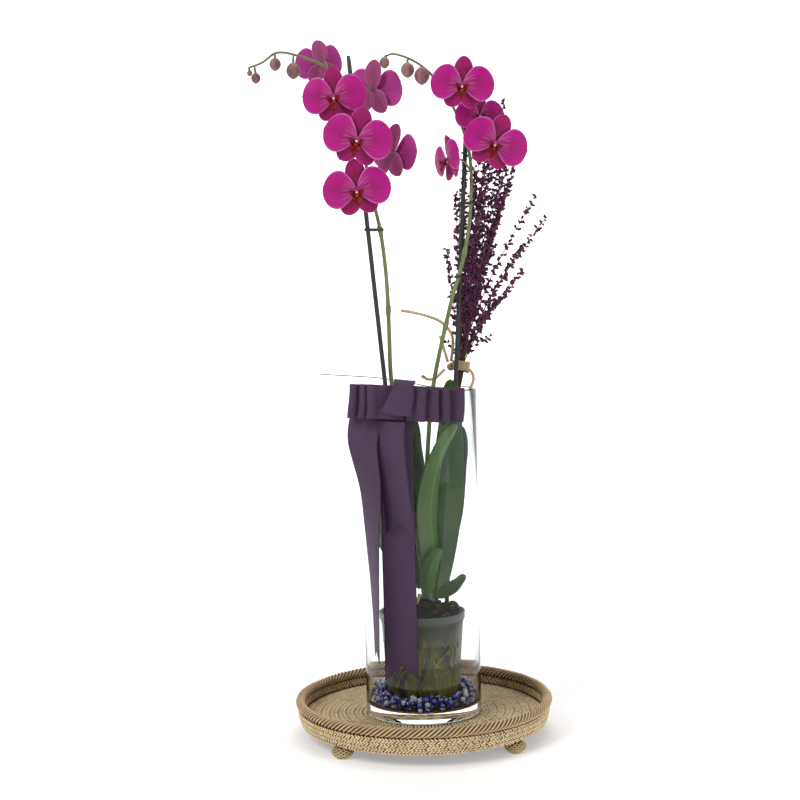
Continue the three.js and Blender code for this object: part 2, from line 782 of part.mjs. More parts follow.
const bundleMiddle = TIE.clone().lerp(BUNDLE_END, 0.5);
const bundleNeck = TIE.clone().add(point(2, 1, 16));
const bundleLean = bundleNeck.clone().sub(bundleMiddle).normalize();
const bundleCore = taper(
  [BUNDLE_END, bundleMiddle, TIE, bundleNeck],
  (t) => lerp(BUNDLE_RADIUS * 0.6, BUNDLE_RADIUS, Math.sin(Math.PI * Math.min(1, t * 1.1) * 0.5)),
  8,
  4,
);
add("dried_bundle", joined([bundleCore, ...SPRIG_TIPS.map(sprigGeometry)]), "dried");

// ---- Jute twine -----------------------------------------------------------------------------------
const WRAP_HEIGHT = 16;
const wrapInner = BUNDLE_RADIUS + GAP + 0.5;
const wrapOuter = wrapInner + 2 * TWINE_RADIUS;
const KNOT = TIE.clone().add(point(-13, -12, 0));
const upright = new THREE.Quaternion().setFromUnitVectors(point(0, 0, 1), bundleLean);
const wrap = turned(
  [
    [wrapInner, -WRAP_HEIGHT / 2],
    [wrapOuter, -WRAP_HEIGHT / 2],
    [wrapOuter, WRAP_HEIGHT / 2],
    [wrapInner, WRAP_HEIGHT / 2],
    [wrapInner, -WRAP_HEIGHT / 2],
  ],
  16,
)
  .applyQuaternion(upright)
  .translate(TIE.x, TIE.y, TIE.z);
add(
  "twine_wrap",
  joined([wrap, ball(KNOT, [TWINE_KNOT_RADIUS + 1, TWINE_KNOT_RADIUS, TWINE_KNOT_RADIUS], 10)]),
  "twine",
);

// Offsets from the tie.
const TWINE_ROUTES = {
  twine_long_end: [
    [-12.5, -12.5, 7], [-11, -13.5, 18], [-10, -14.5, 30], [-11, -15.5, 41], [-17, -16.5, 51], [-26, -17, 59],
    [-36, -17, 64], [-45, -17, 67], [-60, -16.5, 71], [-76, -16, 74],
  ],
  twine_strand: [[-17, -13.5, 6.3], [-19, -15, 14], [-21.5, -16.5, 23], [-24, -17.5, 32], [-26, -18, 40]],
  twine_short_end: [[-21.2, -12.5, -3], [-28, -15, -10], [-35, -16.5, -15], [-43, -17.5, -15.5], [-51, -18, -11]],
  twine_loop: [
    [11.5, -11.5, -4], [15.5, -17, -11], [15.5, -20.5, -19], [12, -21, -27], [8, -20, -36], [2, -17, -42],
    [-3.5, -14, -37], [-6, -12.5, -26], [-6.5, -11, -12],
  ],
};
for (const [name, route] of Object.entries(TWINE_ROUTES)) {
  const points = route.map((offset) => TIE.clone().add(point(...offset)));
  const steps = Math.round(smooth(points).getLength() / (5 * TWINE_RADIUS));
  add(name, bar(points, TWINE_RADIUS, 8, steps), "twine");
}

// ---- Ribbon bow and tails -------------------------------------------------------------------------
const BOW_X = -16;
const BOW_BELOW_RIM = 13;
const BOW_Z = VASE_TOP - BOW_BELOW_RIM;
const BOW_TILT = 3.7; // degrees, lower on the right
const bowBack = -(VASE_RADIUS + 4.5);

// The knot strip: narrow at its top, wider and further left at its foot.
function knotGeometry(extra = 0) {
  const back = bowBack + extra;
  const front = bowBack - 23 - extra;
  const high = 27 + extra;
  const low = -15 - extra;
  const ring = (z, left, right) => [
    point(left - extra, back, BOW_Z + z),
    point(right + extra, back, BOW_Z + z),
    point(right + extra, front, BOW_Z + z),
    point(left - extra, front, BOW_Z + z),
  ];
  return loft([ring(low, -46, -12), ring(6, -38, -5), ring(high, -26, -3)]);
}
add("bow_knot", knotGeometry(), "ribbon");

// One flat loop of ribbon that stands on edge and reaches out to one side.
function loopGeometry(reach, y, depth) {
  const side = Math.sign(reach);
  const outline = new THREE.Shape();
  const nose = depth / 2;
  const far = Math.abs(reach) - nose;
  outline.moveTo(0, -nose);
  outline.lineTo(far, -nose);
  outline.absarc(far, 0, nose, -Math.PI / 2, Math.PI / 2, false);
  outline.lineTo(0, nose);
  outline.closePath();
  const inner = nose - RIBBON_THICKNESS;
  const hollow = new THREE.Path();
  hollow.moveTo(12, -inner);
  hollow.lineTo(12, inner);
  hollow.lineTo(far, inner);
  hollow.absarc(far, 0, inner, Math.PI / 2, -Math.PI / 2, true);
  hollow.closePath();
  outline.holes.push(hollow);
  const geometry = new THREE.ExtrudeGeometry(outline, {
    depth: RIBBON_WIDTH,
    bevelEnabled: false,
    curveSegments: 3,
  });
  geometry.translate(0, 0, -RIBBON_WIDTH / 2);
  if (side < 0) geometry.rotateZ(Math.PI);
  return geometry.translate(0, y, 0);
}

function loopsGeometry(reaches) {
  const depth = 7.5;
  const step = depth - RIBBON_THICKNESS * 0.6;
  const loops = reaches.map((reach, i) => loopGeometry(reach, bowBack - depth / 2 - step * i, depth));
  const place = (geometry) => geometry.rotateY(radians(BOW_TILT)).translate(BOW_X, 0, BOW_Z);
  return cut(joined(loops.map(place)), [knotGeometry(GAP)]);
}
add("bow_loops_left", loopsGeometry([-70, -57, -47]), "ribbon");
add("bow_loops_right", loopsGeometry([72, 54, 41]), "ribbon");

// A hanging tail with a notch cut in its lower end. Its points are x, the way out from the glass, and z.
function tailGeometry({ points, turns, notch, steps = 12 }) {
  const path = points.map(([x, out, z]) => hung(x, -(VASE_RADIUS + out), z));
  const turn = (t) => {
    const place = t * (turns.length - 1);
    const low = Math.min(Math.floor(place), turns.length - 2);
    return radians(lerp(turns[low], turns[low + 1], place - low));
  };
  const strip = blade({
    points: path,
    steps,
    widthAt: () => RIBBON_WIDTH,
    acrossAt: (t) => point(Math.cos(turn(t)), Math.sin(turn(t)), 0),
    thickness: RIBBON_THICKNESS,
    square: true,
  });
  const wedge = new THREE.Shape();
  wedge.moveTo(-RIBBON_WIDTH / 2, -2);
  wedge.lineTo(RIBBON_WIDTH / 2, -2);
  wedge.lineTo(0, notch);
  wedge.closePath();
  const end = path.at(-1);
  const cutter = new THREE.ExtrudeGeometry(wedge, { depth: 30, bevelEnabled: false })
    .translate(0, 0, -15)
    .rotateX(Math.PI / 2)
    .rotateZ(turn(1))
    .translate(end.x, end.y, end.z);
  return cut(strip, [cutter, knotGeometry(GAP)]);
}

add(
  "tail_long",
  tailGeometry({
    points: [[-27, 2.2, 438], [-28, 2.2, 380], [-28, 2.4, 260], [-27, 3, 160], [-27, 4, 86]],
    turns: [0, 0, 0],
    notch: 19,
  }),
  "ribbon",
);
add(
  "tail_front",
  tailGeometry({
    points: [[-35, 16.5, 412], [-36, 16.5, 385], [-32, 16.5, 340], [-27, 16, 300], [-25, 16, 273]],
    turns: [-32, -34, -34],
    notch: 15,
  }),
  "ribbon",
);
add(
  "tail_left",
  tailGeometry({
    points: [[-69, 5, 408], [-70, 4, 385], [-62, 4, 330], [-60, 5, 260], [-58, 5, 190], [-57, 5, 113]],
    steps: 34,
    turns: [-38, -55, -68, -74, -77, -79],
    notch: 12,
  }),
  "ribbon",
);

// ---- Wire that holds the bow on the rim -----------------------------------------------------------
const WIRE_ROUTE = [
  [-120, 3, 471], [-85, 3, 468.5], [-47, 2.6, 465], [-15, 2.6, 459.5], [4, 2, 455.5],
  [17, 0.5, 452.5], [26, -3.5, 449.8],
];
add(
  "bow_wire",
  bar(
    WIRE_ROUTE.map(([x, out, z]) => hung(x, -(VASE_RADIUS + out), z)),
    WIRE_RADIUS,
    8,
    40,
  ),
  "wire",
);

// ---- Origin: the middle of the box on the standing surface, cords left out ------------------------
const CORDS = [...Object.keys(TWINE_ROUTES), "bow_wire"];
model.updateMatrixWorld(true);
const box = new THREE.Box3();
model.traverse((piece) => {
  if (piece.isMesh && !CORDS.includes(piece.name)) box.expandByObject(piece, true);
});
const centre = box.getCenter(point());
model.position.set(-centre.x, -centre.y, -box.min.z);

export default model;
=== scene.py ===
"""A moth orchid with two flower spikes in a nursery pot, inside a tall glass cylinder on a wicker tray.

A grosgrain bow with three tails hangs on the front of the glass, and a dried purple bundle tied with
jute twine stands behind the plant. Points are millimetres from the glass cylinder's axis, with z above
the standing surface, and spot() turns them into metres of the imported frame.
"""

import math
import random
from bisect import bisect_left

import bmesh
import bpy
from bpy.props import FloatProperty, FloatVectorProperty, IntProperty, PointerProperty
from mathutils import Color, Matrix, Vector, noise
from mathutils.geometry import interpolate_bezier


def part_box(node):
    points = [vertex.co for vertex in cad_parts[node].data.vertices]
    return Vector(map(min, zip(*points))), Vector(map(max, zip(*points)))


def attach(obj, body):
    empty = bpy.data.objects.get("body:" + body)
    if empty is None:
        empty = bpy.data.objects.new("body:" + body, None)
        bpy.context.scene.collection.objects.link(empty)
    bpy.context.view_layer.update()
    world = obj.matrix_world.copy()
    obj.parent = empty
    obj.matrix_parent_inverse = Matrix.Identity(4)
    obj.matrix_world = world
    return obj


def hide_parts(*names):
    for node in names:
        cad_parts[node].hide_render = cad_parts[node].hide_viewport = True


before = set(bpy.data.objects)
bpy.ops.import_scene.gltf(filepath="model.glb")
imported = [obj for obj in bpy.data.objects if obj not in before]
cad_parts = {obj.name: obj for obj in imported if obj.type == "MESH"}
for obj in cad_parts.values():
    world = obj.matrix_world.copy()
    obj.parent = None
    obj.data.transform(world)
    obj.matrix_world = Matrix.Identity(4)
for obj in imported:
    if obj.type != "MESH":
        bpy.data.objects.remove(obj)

bl_info = {
    "name": "Potted Orchid",
    "version": (1, 0, 0),
    "blender": (4, 5, 0),
    "location": "View3D > Sidebar > Orchid",
    "description": "Builds a potted orchid in a glass cylinder around its packed frame",
    "category": "Add Mesh",
}

MM = 0.001
TAU = 2 * math.pi
WELD = 1e-7  # corners nearer than this are one corner
DRAWN_TOP = 447  # the glass's top, in millimetres, that the wire and the tails are drawn for
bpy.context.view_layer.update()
GLASS_LOW, GLASS_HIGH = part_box("glass_vase")
AXIS = Vector(((GLASS_LOW.x + GLASS_HIGH.x) / 2, (GLASS_LOW.y + GLASS_HIGH.y) / 2, 0.0))


def spot(x, y, z):
    """A point given in millimetres from the glass cylinder's axis, in metres of the frame."""
    return AXIS + Vector((x, y, z)) * MM


def rgb(red, green, blue):
    """A colour from its screen values of 0 to 255, as Blender's materials take it."""
    return tuple(Color((red / 255, green / 255, blue / 255)).from_srgb_to_scene_linear())


def mix(low, high, share):
    """The number that share of the way from low to high."""
    return low + (high - low) * share


# ---- Routes -------------------------------------------------------------------------------------
class Route:
    """A smooth curve through points, read by its share of length."""

    def __init__(self, points, cuts=12):
        points = [Vector(point) for point in points]
        points = [2 * points[0] - points[1], *points, 2 * points[-1] - points[-2]]
        self.line = [points[1]]
        for before, low, high, after in zip(points, points[1:], points[2:], points[3:]):
            gaps = [math.sqrt(max((b - a).length, 1e-7)) for a,
                    b in ((before, low), (low, high), (high, after))]
            leave = (low - before) / gaps[0] - (high - before) / (gaps[0] + gaps[1]) + (high - low) / gaps[1]
            arrive = (high - low) / gaps[1] - (after - low) / (gaps[1] + gaps[2]) + (after - high) / gaps[2]
            pull = gaps[1] / 3
            self.line += interpolate_bezier(low, low + leave * pull, high - arrive * pull, high, cuts + 1)[1:]
        self.reach = [0.0]
        for a, b in zip(self.line, self.line[1:]):
            self.reach.append(self.reach[-1] + (b - a).length)
        self.length = self.reach[-1]

    def at(self, share):
        """The point at a share of the length."""
        reach = min(max(share, 0.0), 1.0) * self.length
        i = min(max(bisect_left(self.reach, reach), 1), len(self.line) - 1)
        low, high = self.reach[i - 1], self.reach[i]
        return self.line[i - 1].lerp(self.line[i], (reach - low) / max(high - low, 1e-9))

    def along(self, share):
        """The direction at a share of the length."""
        return (self.at(share + 0.012) - self.at(share - 0.012)).normalized()

    def frames(self, steps):
        """Points along the route, each with two directions square to it that turn as little as they can."""
        side, rows = self.along(0).orthogonal().normalized(), []
        for i in range(steps + 1):
            along = self.along(i / steps)
            side = (side - along * side.dot(along)).normalized()
            rows.append((self.at(i / steps), side, along.cross(side)))
        return rows

    def nearest(self, target):
        """The point of the route that is nearest to target."""
        return min(self.line, key=lambda point: (point - target).length)

    def at_height(self, z):
        """The point of the route at a height."""
        return min((self.at(i / 400) for i in range(401)), key=lambda point: abs(point.z - z))


def route_mm(points):
    """A Route through points given in millimetres from the axis."""
    return Route([spot(*point) for point in points])


# ---- Mesh helpers -------------------------------------------------------------------------------
def start_mesh():
    """An empty bmesh with a UV layer."""
    bm = bmesh.new()
    bm.loops.layers.uv.new("UVMap")
    return bm


def finish_faces(bm, verts, material=0, scale=None):
    """Gives the faces of some corners a material, smooth shading and, if scale is given, a wider UV."""
    uv = bm.loops.layers.uv.verify()
    for face in {face for vert in verts for face in vert.link_faces}:
        face.smooth, face.material_index = True, material
        if scale:
            for loop in face.loops:
                loop[uv].uv = (loop[uv].uv.x * scale[0], loop[uv].uv.y * scale[1])


def surface(bm, columns, rows, place, material=0, scale=None, weld=None):
    """A grid of faces whose corners are put at place(u, v), where u and v run from 0 to 1. Corners nearer to
    each other than weld are joined."""
    made = bmesh.ops.create_grid(bm, x_segments=columns, y_segments=rows, size=0.5, calc_uvs=True)["verts"]
    for vert in made:
        vert.co = place(round((vert.co.x + 0.5) * columns) / columns, round((vert.co.y + 0.5) * rows) / rows)
    finish_faces(bm, made, material, scale)
    if weld:
        bmesh.ops.remove_doubles(bm, verts=made, dist=weld)


def tube(bm, route, radius, sides=8, steps=24, material=0, shape=None):
    """A closed round bar along a route. radius is a number or a function of the share of the length, and
    shape multiplies it by angle and share."""
    rows = route.frames(steps)
    ends = steps + 2

    def place(u, v):
        i = round(v * ends)
        share = min(max(i - 1, 0), steps) / steps
        middle, side, other = rows[min(max(i - 1, 0), steps)]
        if i in (0, ends):
            return middle
        wide = radius(share) if callable(radius) else radius
        angle = TAU * u
        if shape:
            wide *= shape(angle, share)
        return middle + (side * math.cos(angle) + other * math.sin(angle)) * wide

    surface(bm, sides, ends, place, material, (1.0, route.length / (20 * MM)), weld=WELD)


def ring(bm, steps, sides, place, material=0, scale=(1.0, 1.0)):
    """A closed ring of tube: place(turn, angle) gives the point at a turn round the ring and an angle round
    its section."""
    surface(bm, sides, steps, lambda u, v: place(TAU * v, TAU * u), material, scale, weld=WELD)


def strokes(bm, count, frame_at, long, wide, thick, material=0, seed=0.0):
    """A ring of short plump strokes of reed. frame_at(turn) gives a stroke's middle, its direction and the
    way its face looks, and its thin ends dip under its neighbours."""
    cuts = (0.3, 0.86, 1.0, 0.86, 0.3)

    def place(u, v):
        i = round(v * count * 5)
        k, j = divmod(i, 5)
        k %= count
        chance = math.sin(k * 12.9 + seed * 7.3) * 4375.85
        chance -= math.floor(chance)
        middle, along, out = frame_at(TAU * (k + 0.3 * chance) / count)
        side, share = out.cross(along), j / 4 - 0.5
        swell = cuts[j] * mix(0.88, 1.1, chance)
        angle = TAU * u
        across = side * wide * math.cos(angle) + out * thick * math.sin(angle)
        return middle + (along * share * long * mix(0.9, 1.08,
                                                    chance) - out * 3.2 * share * share + across * swell) * MM

    surface(bm, 6, count * 5, place, material, (0.6, count), weld=WELD)


def around(turn):
    """The directions outwards and onwards at a turn round the axis."""
    out = Vector((math.cos(turn), math.sin(turn), 0))
    return out, Vector((-out.y, out.x, 0))


def turned(profile, steps, middle=AXIS):
    """A new bmesh of a body turned round an upright axis, from its profile of radius and height in mm."""
    bm = start_mesh()
    corners = [bm.verts.new(middle + Vector((r, 0, z)) * MM) for r, z in profile]
    edges = [bm.edges.new(pair) for pair in zip(corners, corners[1:])]
    bmesh.ops.spin(bm, geom=corners + edges, cent=middle, axis=(0, 0, 1), angle=TAU, steps=steps,
                   use_merge=True)
    bmesh.ops.remove_doubles(bm, verts=bm.verts[:], dist=1e-6)
    bmesh.ops.recalc_face_normals(bm, faces=bm.faces[:])
    finish_faces(bm, bm.verts[:])
    return bm


def blob(bm, middle, sizes, material=0, turn=None, rough=0.0, seed=0.0, sides=8, rows=6):
    """A ball with three half sizes, turned, and made uneven by rough."""
    matrix = Matrix.Translation(middle) @ (turn or Matrix()) @ Matrix.Diagonal((*sizes, 1))
    made = bmesh.ops.create_uvsphere(bm, u_segments=sides, v_segments=rows, radius=1.0)["verts"]
    for vert in made:
        wave = 1 + rough * noise.noise(vert.co * 1.7 + Vector((seed, 2 * seed, 0)))
        vert.co = matrix @ (vert.co * wave)
    finish_faces(bm, made, material)
    return made


def keep_shape(bm, name):
    """Takes a small bmesh as a mesh that stamp() can copy many times."""
    shape = bpy.data.meshes.new(name)
    bm.to_mesh(shape)
    bm.free()
    return shape


def stamp(bm, shape, matrix, material=None):
    """Adds a copy of a small mesh to bm, moved by a matrix, in one of its materials."""
    copy = shape.copy()
    copy.transform(matrix)
    if material is not None:
        copy.polygons.foreach_set("material_index", [material] * len(copy.polygons))
    bm.from_mesh(copy)
    bpy.data.meshes.remove(copy)


def piece(name, bm, finishes, slot, *nodes):
    """Makes the finished object of a bmesh, riding on the body, that stands for the frame's nodes."""
    mesh = bpy.data.meshes.new(name)
    bm.to_mesh(mesh)
    bm.free()
    for finish in finishes:
        mesh.materials.append(finish)
    made = bpy.data.objects.new(name, mesh)
    bpy.context.scene.collection.objects.link(made)
    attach(made, "root")
    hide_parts(*nodes)
    return made


def thicken(made, thickness, back=0, rim=0, offset=0.0, even=True):
    """Gives a sheet its thickness, with materials back and rim places further on for those faces."""
    wall = made.modifiers.new("Thickness", "SOLIDIFY")
    wall.thickness, wall.offset = thickness * MM, offset
    wall.material_offset, wall.material_offset_rim = back, rim
    wall.use_even_offset = even
    return made


# ---- Materials ----------------------------------------------------------------------------------
class Finish:
    """A material's Principled shader, with short calls for the nodes that feed it."""

    def __init__(self, name, **sockets):
        self.material = bpy.data.materials.new(name)
        self.material.use_nodes = True
        self.tree = self.material.node_tree
        self.shader = self.tree.nodes["Principled BSDF"]
        for socket, value in sockets.items():
            self.feed(self.shader.inputs[socket.replace("_", " ")], value)
        self.where = self.node("TexCoord")

    def feed(self, socket, value):
        if isinstance(value, bpy.types.NodeSocket):
            self.tree.links.new(value, socket)
        elif isinstance(value, tuple) and len(value) == 3 and socket.type == "RGBA":
            socket.default_value = (*value, 1.0)
        else:
            socket.default_value = value

    def node(self, kind, inputs=(), **settings):
        made = self.tree.nodes.new("ShaderNode" + kind)
        for key, value in settings.items():
            setattr(made, key, value)
        for key, value in dict(inputs).items():
            self.feed(made.inputs[key], value)
        return made

    def coords(self, kind="Object", scale=(1, 1, 1)):
        """Object or UV coordinates, stretched by scale."""
        return self.node("Mapping", {"Vector": self.where.outputs[kind], "Scale": scale}).outputs[0]

    def noise(self, scale, detail=3.0, at=None, rough=0.5, distort=0.0):
        inputs = {"Vector": at or self.coords(), "Scale": scale, "Detail": detail, "Roughness": rough,
                  "Distortion": distort}
        return self.node("TexNoise", inputs).outputs["Fac"]

    def span(self, value, low, high, to_low=0.0, to_high=1.0):
        """value taken from low..high to another range, and held inside it."""
        inputs = {"Value": value, "From Min": low, "From Max": high, "To Min": to_low, "To Max": to_high}
        return self.node("MapRange", inputs).outputs[0]

    def sum(self, operation, first, second=0.0):
        return self.node("Math", {0: first, 1: second}, operation=operation).outputs[0]

    def mix(self, share, low, high):
        return self.node("Mix", {0: share, 6: low, 7: high}, data_type="RGBA").outputs[2]

    def blend(self, low, high, value, *reach):
        """A colour that goes from low to high over a reach of value, as span takes it."""
        return self.mix(self.span(value, *reach), low, high)

    def split(self, vector):
        return self.node("SeparateXYZ", {0: vector}).outputs

    def colour(self, value):
        self.feed(self.shader.inputs["Base Color"], value)

    def roughness(self, value):
        self.feed(self.shader.inputs["Roughness"], value)

    def bump(self, height, depth, strength=0.6):
        """Raises the surface by height times depth millimetres."""
        inputs = {"Height": height, "Distance": depth * MM, "Strength": strength}
        self.feed(self.shader.inputs["Normal"], self.node("Bump", inputs).outputs[0])


def rattan_finish(name, pale, dark, woven=0):
    """Dried reed: streaks along its length, paler and browner lengths, and a fine grain; woven strokes get
    painted shade at their sides and ends.
    """
    reed = Finish(name, Roughness=0.6)
    length = reed.noise(9.0, 4, reed.coords("UV", (0.6, 3.0, 1)))
    patch = reed.noise(60.0, 3)
    large = reed.noise(9.0, 2)
    tone = reed.blend(pale, dark, length, 0.35, 0.68)
    tone = reed.blend(tone, rgb(140, 102, 62), patch, 0.48, 0.75, 0, 0.4)
    tone = reed.blend(tone, pale, large, 0.4, 0.65, 0, 0.3)
    if woven:
        # painted shade: a stroke darkens down its sides, where x is a whole or half turn, and towards its
        # ends, where it dips under its neighbours
        around_it, on = reed.split(reed.where.outputs["UV"])[:2]
        side = reed.sum("ABSOLUTE", reed.sum("COSINE", reed.sum("MULTIPLY", around_it, TAU / 0.6)))
        end = reed.sum("ABSOLUTE", reed.sum("SUBTRACT", reed.sum("FRACT", on), 0.4))
        stroke_shade = reed.sum("MAXIMUM", reed.span(side, 0.45, 0.95),
                          reed.span(end, 0.26, 0.42, 0, 0.9 if woven > 1 else 0.0))
        tone = reed.mix(reed.sum("MULTIPLY", stroke_shade, 0.7), tone, rgb(84, 56, 30))
    reed.colour(tone)
    reed.roughness(reed.span(length, 0.3, 0.7, 0.5, 0.75))
    reed.bump(reed.noise(1100.0, 2, reed.coords("Object", (1, 1, 1))), 0.25, 0.5)
    return reed.material


# ---- Settings -----------------------------------------------------------------------------------
def size(name, description, default, low, high):
    return FloatProperty(name=name, description=description, default=default, min=low, max=high,
                         subtype="DISTANCE", unit="LENGTH")


def paint(name, description, default):
    return FloatVectorProperty(name=name, description=description, default=default, min=0, max=1,
                               subtype="COLOR")


def count(name, description, default, low, high):
    return IntProperty(name=name, description=description, default=default, min=low, max=high)


class OrchidStageSettings(bpy.types.PropertyGroup):
    floor: paint("Floor", "Colour of the studio floor", (0.93, 0.93, 0.93))
    sky: FloatProperty(name="Surrounding light", description="Strength of the even light all round",
                       default=0.2, min=0, max=5)
    key: FloatProperty(name="Key light", description="Power of the large soft light", default=36.0, min=0,
                       max=500, unit="POWER")
    lens: FloatProperty(name="Lens", description="Focal length of the camera", default=64.278, min=20,
                        max=200, unit="CAMERA")


class OrchidTraySettings(bpy.types.PropertyGroup):
    reed: paint("Reed", "Colour of the pale reed", rgb(250, 228, 184))
    reed_dark: paint("Dark reed", "Colour of the browner reed", rgb(224, 190, 138))
    rows_apart: size("Rows apart", "Distance between the woven rows", 0.0031, 0.002, 0.01)


class OrchidGlassSettings(bpy.types.PropertyGroup):
    bead: size("Bead radius", "Radius of a glass bead", 0.0041, 0.002, 0.006)
    beads: count("Beads", "How many beads lie round the pot", 420, 0, 600)
    bead_blue: paint("Bead blue", "Colour of the blue beads", rgb(26, 24, 196))
    pot: paint("Pot", "Colour of the nursery pot", rgb(92, 90, 80))


class OrchidPlantSettings(bpy.types.PropertyGroup):
    petal: paint("Petal", "Colour of a petal's face", rgb(178, 8, 126))
    petal_deep: paint("Petal centre", "Colour towards a petal's middle", rgb(138, 4, 88))
    lip: paint("Lip", "Colour of the lip", rgb(146, 4, 18))
    leaf: paint("Leaf", "Colour of a leaf's face", rgb(40, 72, 26))
    stem: paint("Stem", "Colour of the flower stems", rgb(100, 114, 66))
    stake: paint("Stake", "Colour of the coated stakes", rgb(58, 62, 62))


class OrchidTrimSettings(bpy.types.PropertyGroup):
    ribbon: paint("Ribbon", "Colour of the grosgrain", rgb(78, 57, 84))
    rib: size("Rib pitch", "Distance between the ribbon's ribs", 0.0018, 0.0005, 0.003)
    twine: paint("Twine", "Colour of the jute", rgb(216, 194, 154))
    dried: paint("Dried heads", "Colour of the dried flower heads", rgb(96, 28, 78))
    sprigs: count("Sprigs", "Stems in the dried bundle", 34, 3, 60)


# ---- Camera, lights and floor -------------------------------------------------------------------
CAMERA_AT = (0.01982, -1.84064, 0.54336)
CAMERA_TURN = (-0.012857, -0.060013, -0.019064)  # to the right, up and clockwise, in radians
FLOOR_FRONT, FLOOR_BACK, BEND = 3.2, 2.2, 0.8  # how far the floor runs each way, and its curve's radius


class ORCHID_OT_stage(bpy.types.Operator):
    """Make the camera, the soft studio lights and the pale floor"""

    bl_idname = "orchid.stage"
    bl_label = "Stage"

    def execute(self, context):
        settings, scene = context.scene.orchid_stage, context.scene
        camera = bpy.data.objects.new("camera", bpy.data.cameras.new("camera"))
        camera.data.lens, camera.data.sensor_width = settings.lens, 36.0
        camera.data.clip_start, camera.data.clip_end = 0.05, 30
        yaw, pitch, roll = CAMERA_TURN
        look = Vector((math.sin(yaw) * math.cos(pitch), math.cos(yaw) * math.cos(pitch), math.sin(pitch)))
        level = Vector((math.cos(yaw), -math.sin(yaw), 0))
        over = level.cross(look)
        right = level * math.cos(roll) + over * math.sin(roll)
        up = over * math.cos(roll) - level * math.sin(roll)
        turn = Matrix((right, up, -look)).transposed().to_4x4()
        camera.matrix_world = Matrix.Translation(CAMERA_AT) @ turn
        scene.collection.objects.link(camera)
        scene.camera = camera

        world = bpy.data.worlds.new("studio")
        world.use_nodes = True
        sky = world.node_tree.nodes["Background"]
        sky.inputs["Color"].default_value = (1, 1, 1, 1)
        # white where it's looked at, straight or through glass, and dimmer where it lights the object
        path = world.node_tree.nodes.new("ShaderNodeLightPath")
        turns = world.node_tree.nodes.new("ShaderNodeMath")
        level = world.node_tree.nodes.new("ShaderNodeMapRange")
        level.inputs["To Min"].default_value = 1.0
        level.inputs["To Max"].default_value = settings.sky
        link = world.node_tree.links.new
        link(path.outputs["Diffuse Depth"], turns.inputs[0])
        link(path.outputs["Glossy Depth"], turns.inputs[1])
        link(turns.outputs[0], level.inputs["Value"])
        link(level.outputs[0], sky.inputs["Strength"])
        scene.world = world
        scene.view_settings.view_transform = "Standard"

        self.light(scene, "key", (-1.5, -1.5, 2.1), (1.1, 1.6), settings.key)
        self.light(scene, "fill", (1.8, -1.6, 1.1), (0.9, 1.8), settings.key * 0.45)
        self.light(scene, "top", (0.2, 0.5, 2.6), (1.6, 1.2), settings.key * 0.6)

        bm = start_mesh()
        surface(bm, 6, 40, self.backdrop)
        mesh = bpy.data.meshes.new("floor")
        bm.to_mesh(mesh)
        bm.free()
        floor = bpy.data.objects.new("floor", mesh)
        scene.collection.objects.link(floor)
        paper = Finish("floor_paper", Roughness=0.9)
        grain = paper.noise(220.0, 3)
        paper.colour(paper.blend(tuple(settings.floor), rgb(228, 228, 228), grain, 0.3, 0.7, 0, 0.04))
        paper.bump(grain, 0.05, 0.2)
        # the sweep glows a little away from the object, as a lit backdrop does
        paper.feed(paper.shader.inputs["Emission Color"], (1.0, 1.0, 1.0))
        away = paper.split(paper.where.outputs["Object"])[1]
        front, back = paper.span(away, -0.6, -2.4, 0.0, 0.35), paper.span(away, 0.0, 1.5, 0.3, 0.8)
        paper.feed(paper.shader.inputs["Emission Strength"], paper.sum("ADD", front, back))
        mesh.materials.append(paper.material)
        return {"FINISHED"}

    @staticmethod
    def light(scene, name, at, sizes, power):
        lamp = bpy.data.lights.new(name, "AREA")
        lamp.shape, lamp.energy = "RECTANGLE", power
        lamp.size, lamp.size_y = sizes
        made = bpy.data.objects.new(name, lamp)
        made.location = at
        made.rotation_euler = (Vector((0, 0, 0.4)) - Vector(at)).to_track_quat("-Z", "Y").to_euler()
        scene.collection.objects.link(made)

    @staticmethod
    def backdrop(u, v):
        """The floor runs back and turns up into a wall on a wide curve."""
        x, y = (u - 0.5) * 9, v * 7.5 - FLOOR_FRONT
        if y < FLOOR_BACK:
            return Vector((x, y, 0))
        angle = min((y - FLOOR_BACK) / BEND, math.pi / 2)
        rise = max(y - FLOOR_BACK - BEND * math.pi / 2, 0)
        return Vector((x, FLOOR_BACK + BEND * math.sin(angle), BEND * (1 - math.cos(angle)) + rise))


# ---- Twine and wire -----------------------------------------------------------------------------
TIE = Vector((56, 29, 474))
TWINE = {  # offsets from the tie, and what the twine ends in
    "twine_long_end": ([
        (-12.5, -12.5, 7), (-11, -13.5, 18), (-10, -14.5, 30), (-11, -15.5, 41), (-17, -16.5, 51),
        (-26, -17, 59),
        (-36, -17, 64), (-45, -17, 67), (-60, -16.5, 71), (-76, -16, 74)], "bare"),
    "twine_strand": ([(-17, -13.5, 6.3), (-19, -15, 14), (-21.5, -16.5, 23), (-24, -17.5, 32),
                      (-26, -18, 40)], "bare"),
    "twine_short_end": ([
        (-21.2, -12.5, -3), (-28, -15, -10), (-35, -16.5, -15), (-43, -17.5, -15.5), (-51, -18, -11)],
        "bare"),
    "twine_loop": ([
        (11.5, -11.5, -4), (15.5, -17, -11), (15.5, -20.5, -19), (12, -21, -27), (8, -20, -36), (2, -17, -42),
        (-3.5, -14, -37), (-6, -12.5, -26), (-6.5, -11, -12)], "object"),
}
TWINE_RADIUS = 2.0
WIRE = [(-120, 3, 471), (-85, 3, 468.5), (-47, 2.6, 465), (-15, 2.6, 459.5), (4, 2, 455.5),
        (17, 0.5, 452.5), (26, -3.5, 449.8)]
GLASS_RADIUS = (GLASS_HIGH.x - GLASS_LOW.x) / 2 / MM
GLASS_TOP = GLASS_HIGH.z / MM


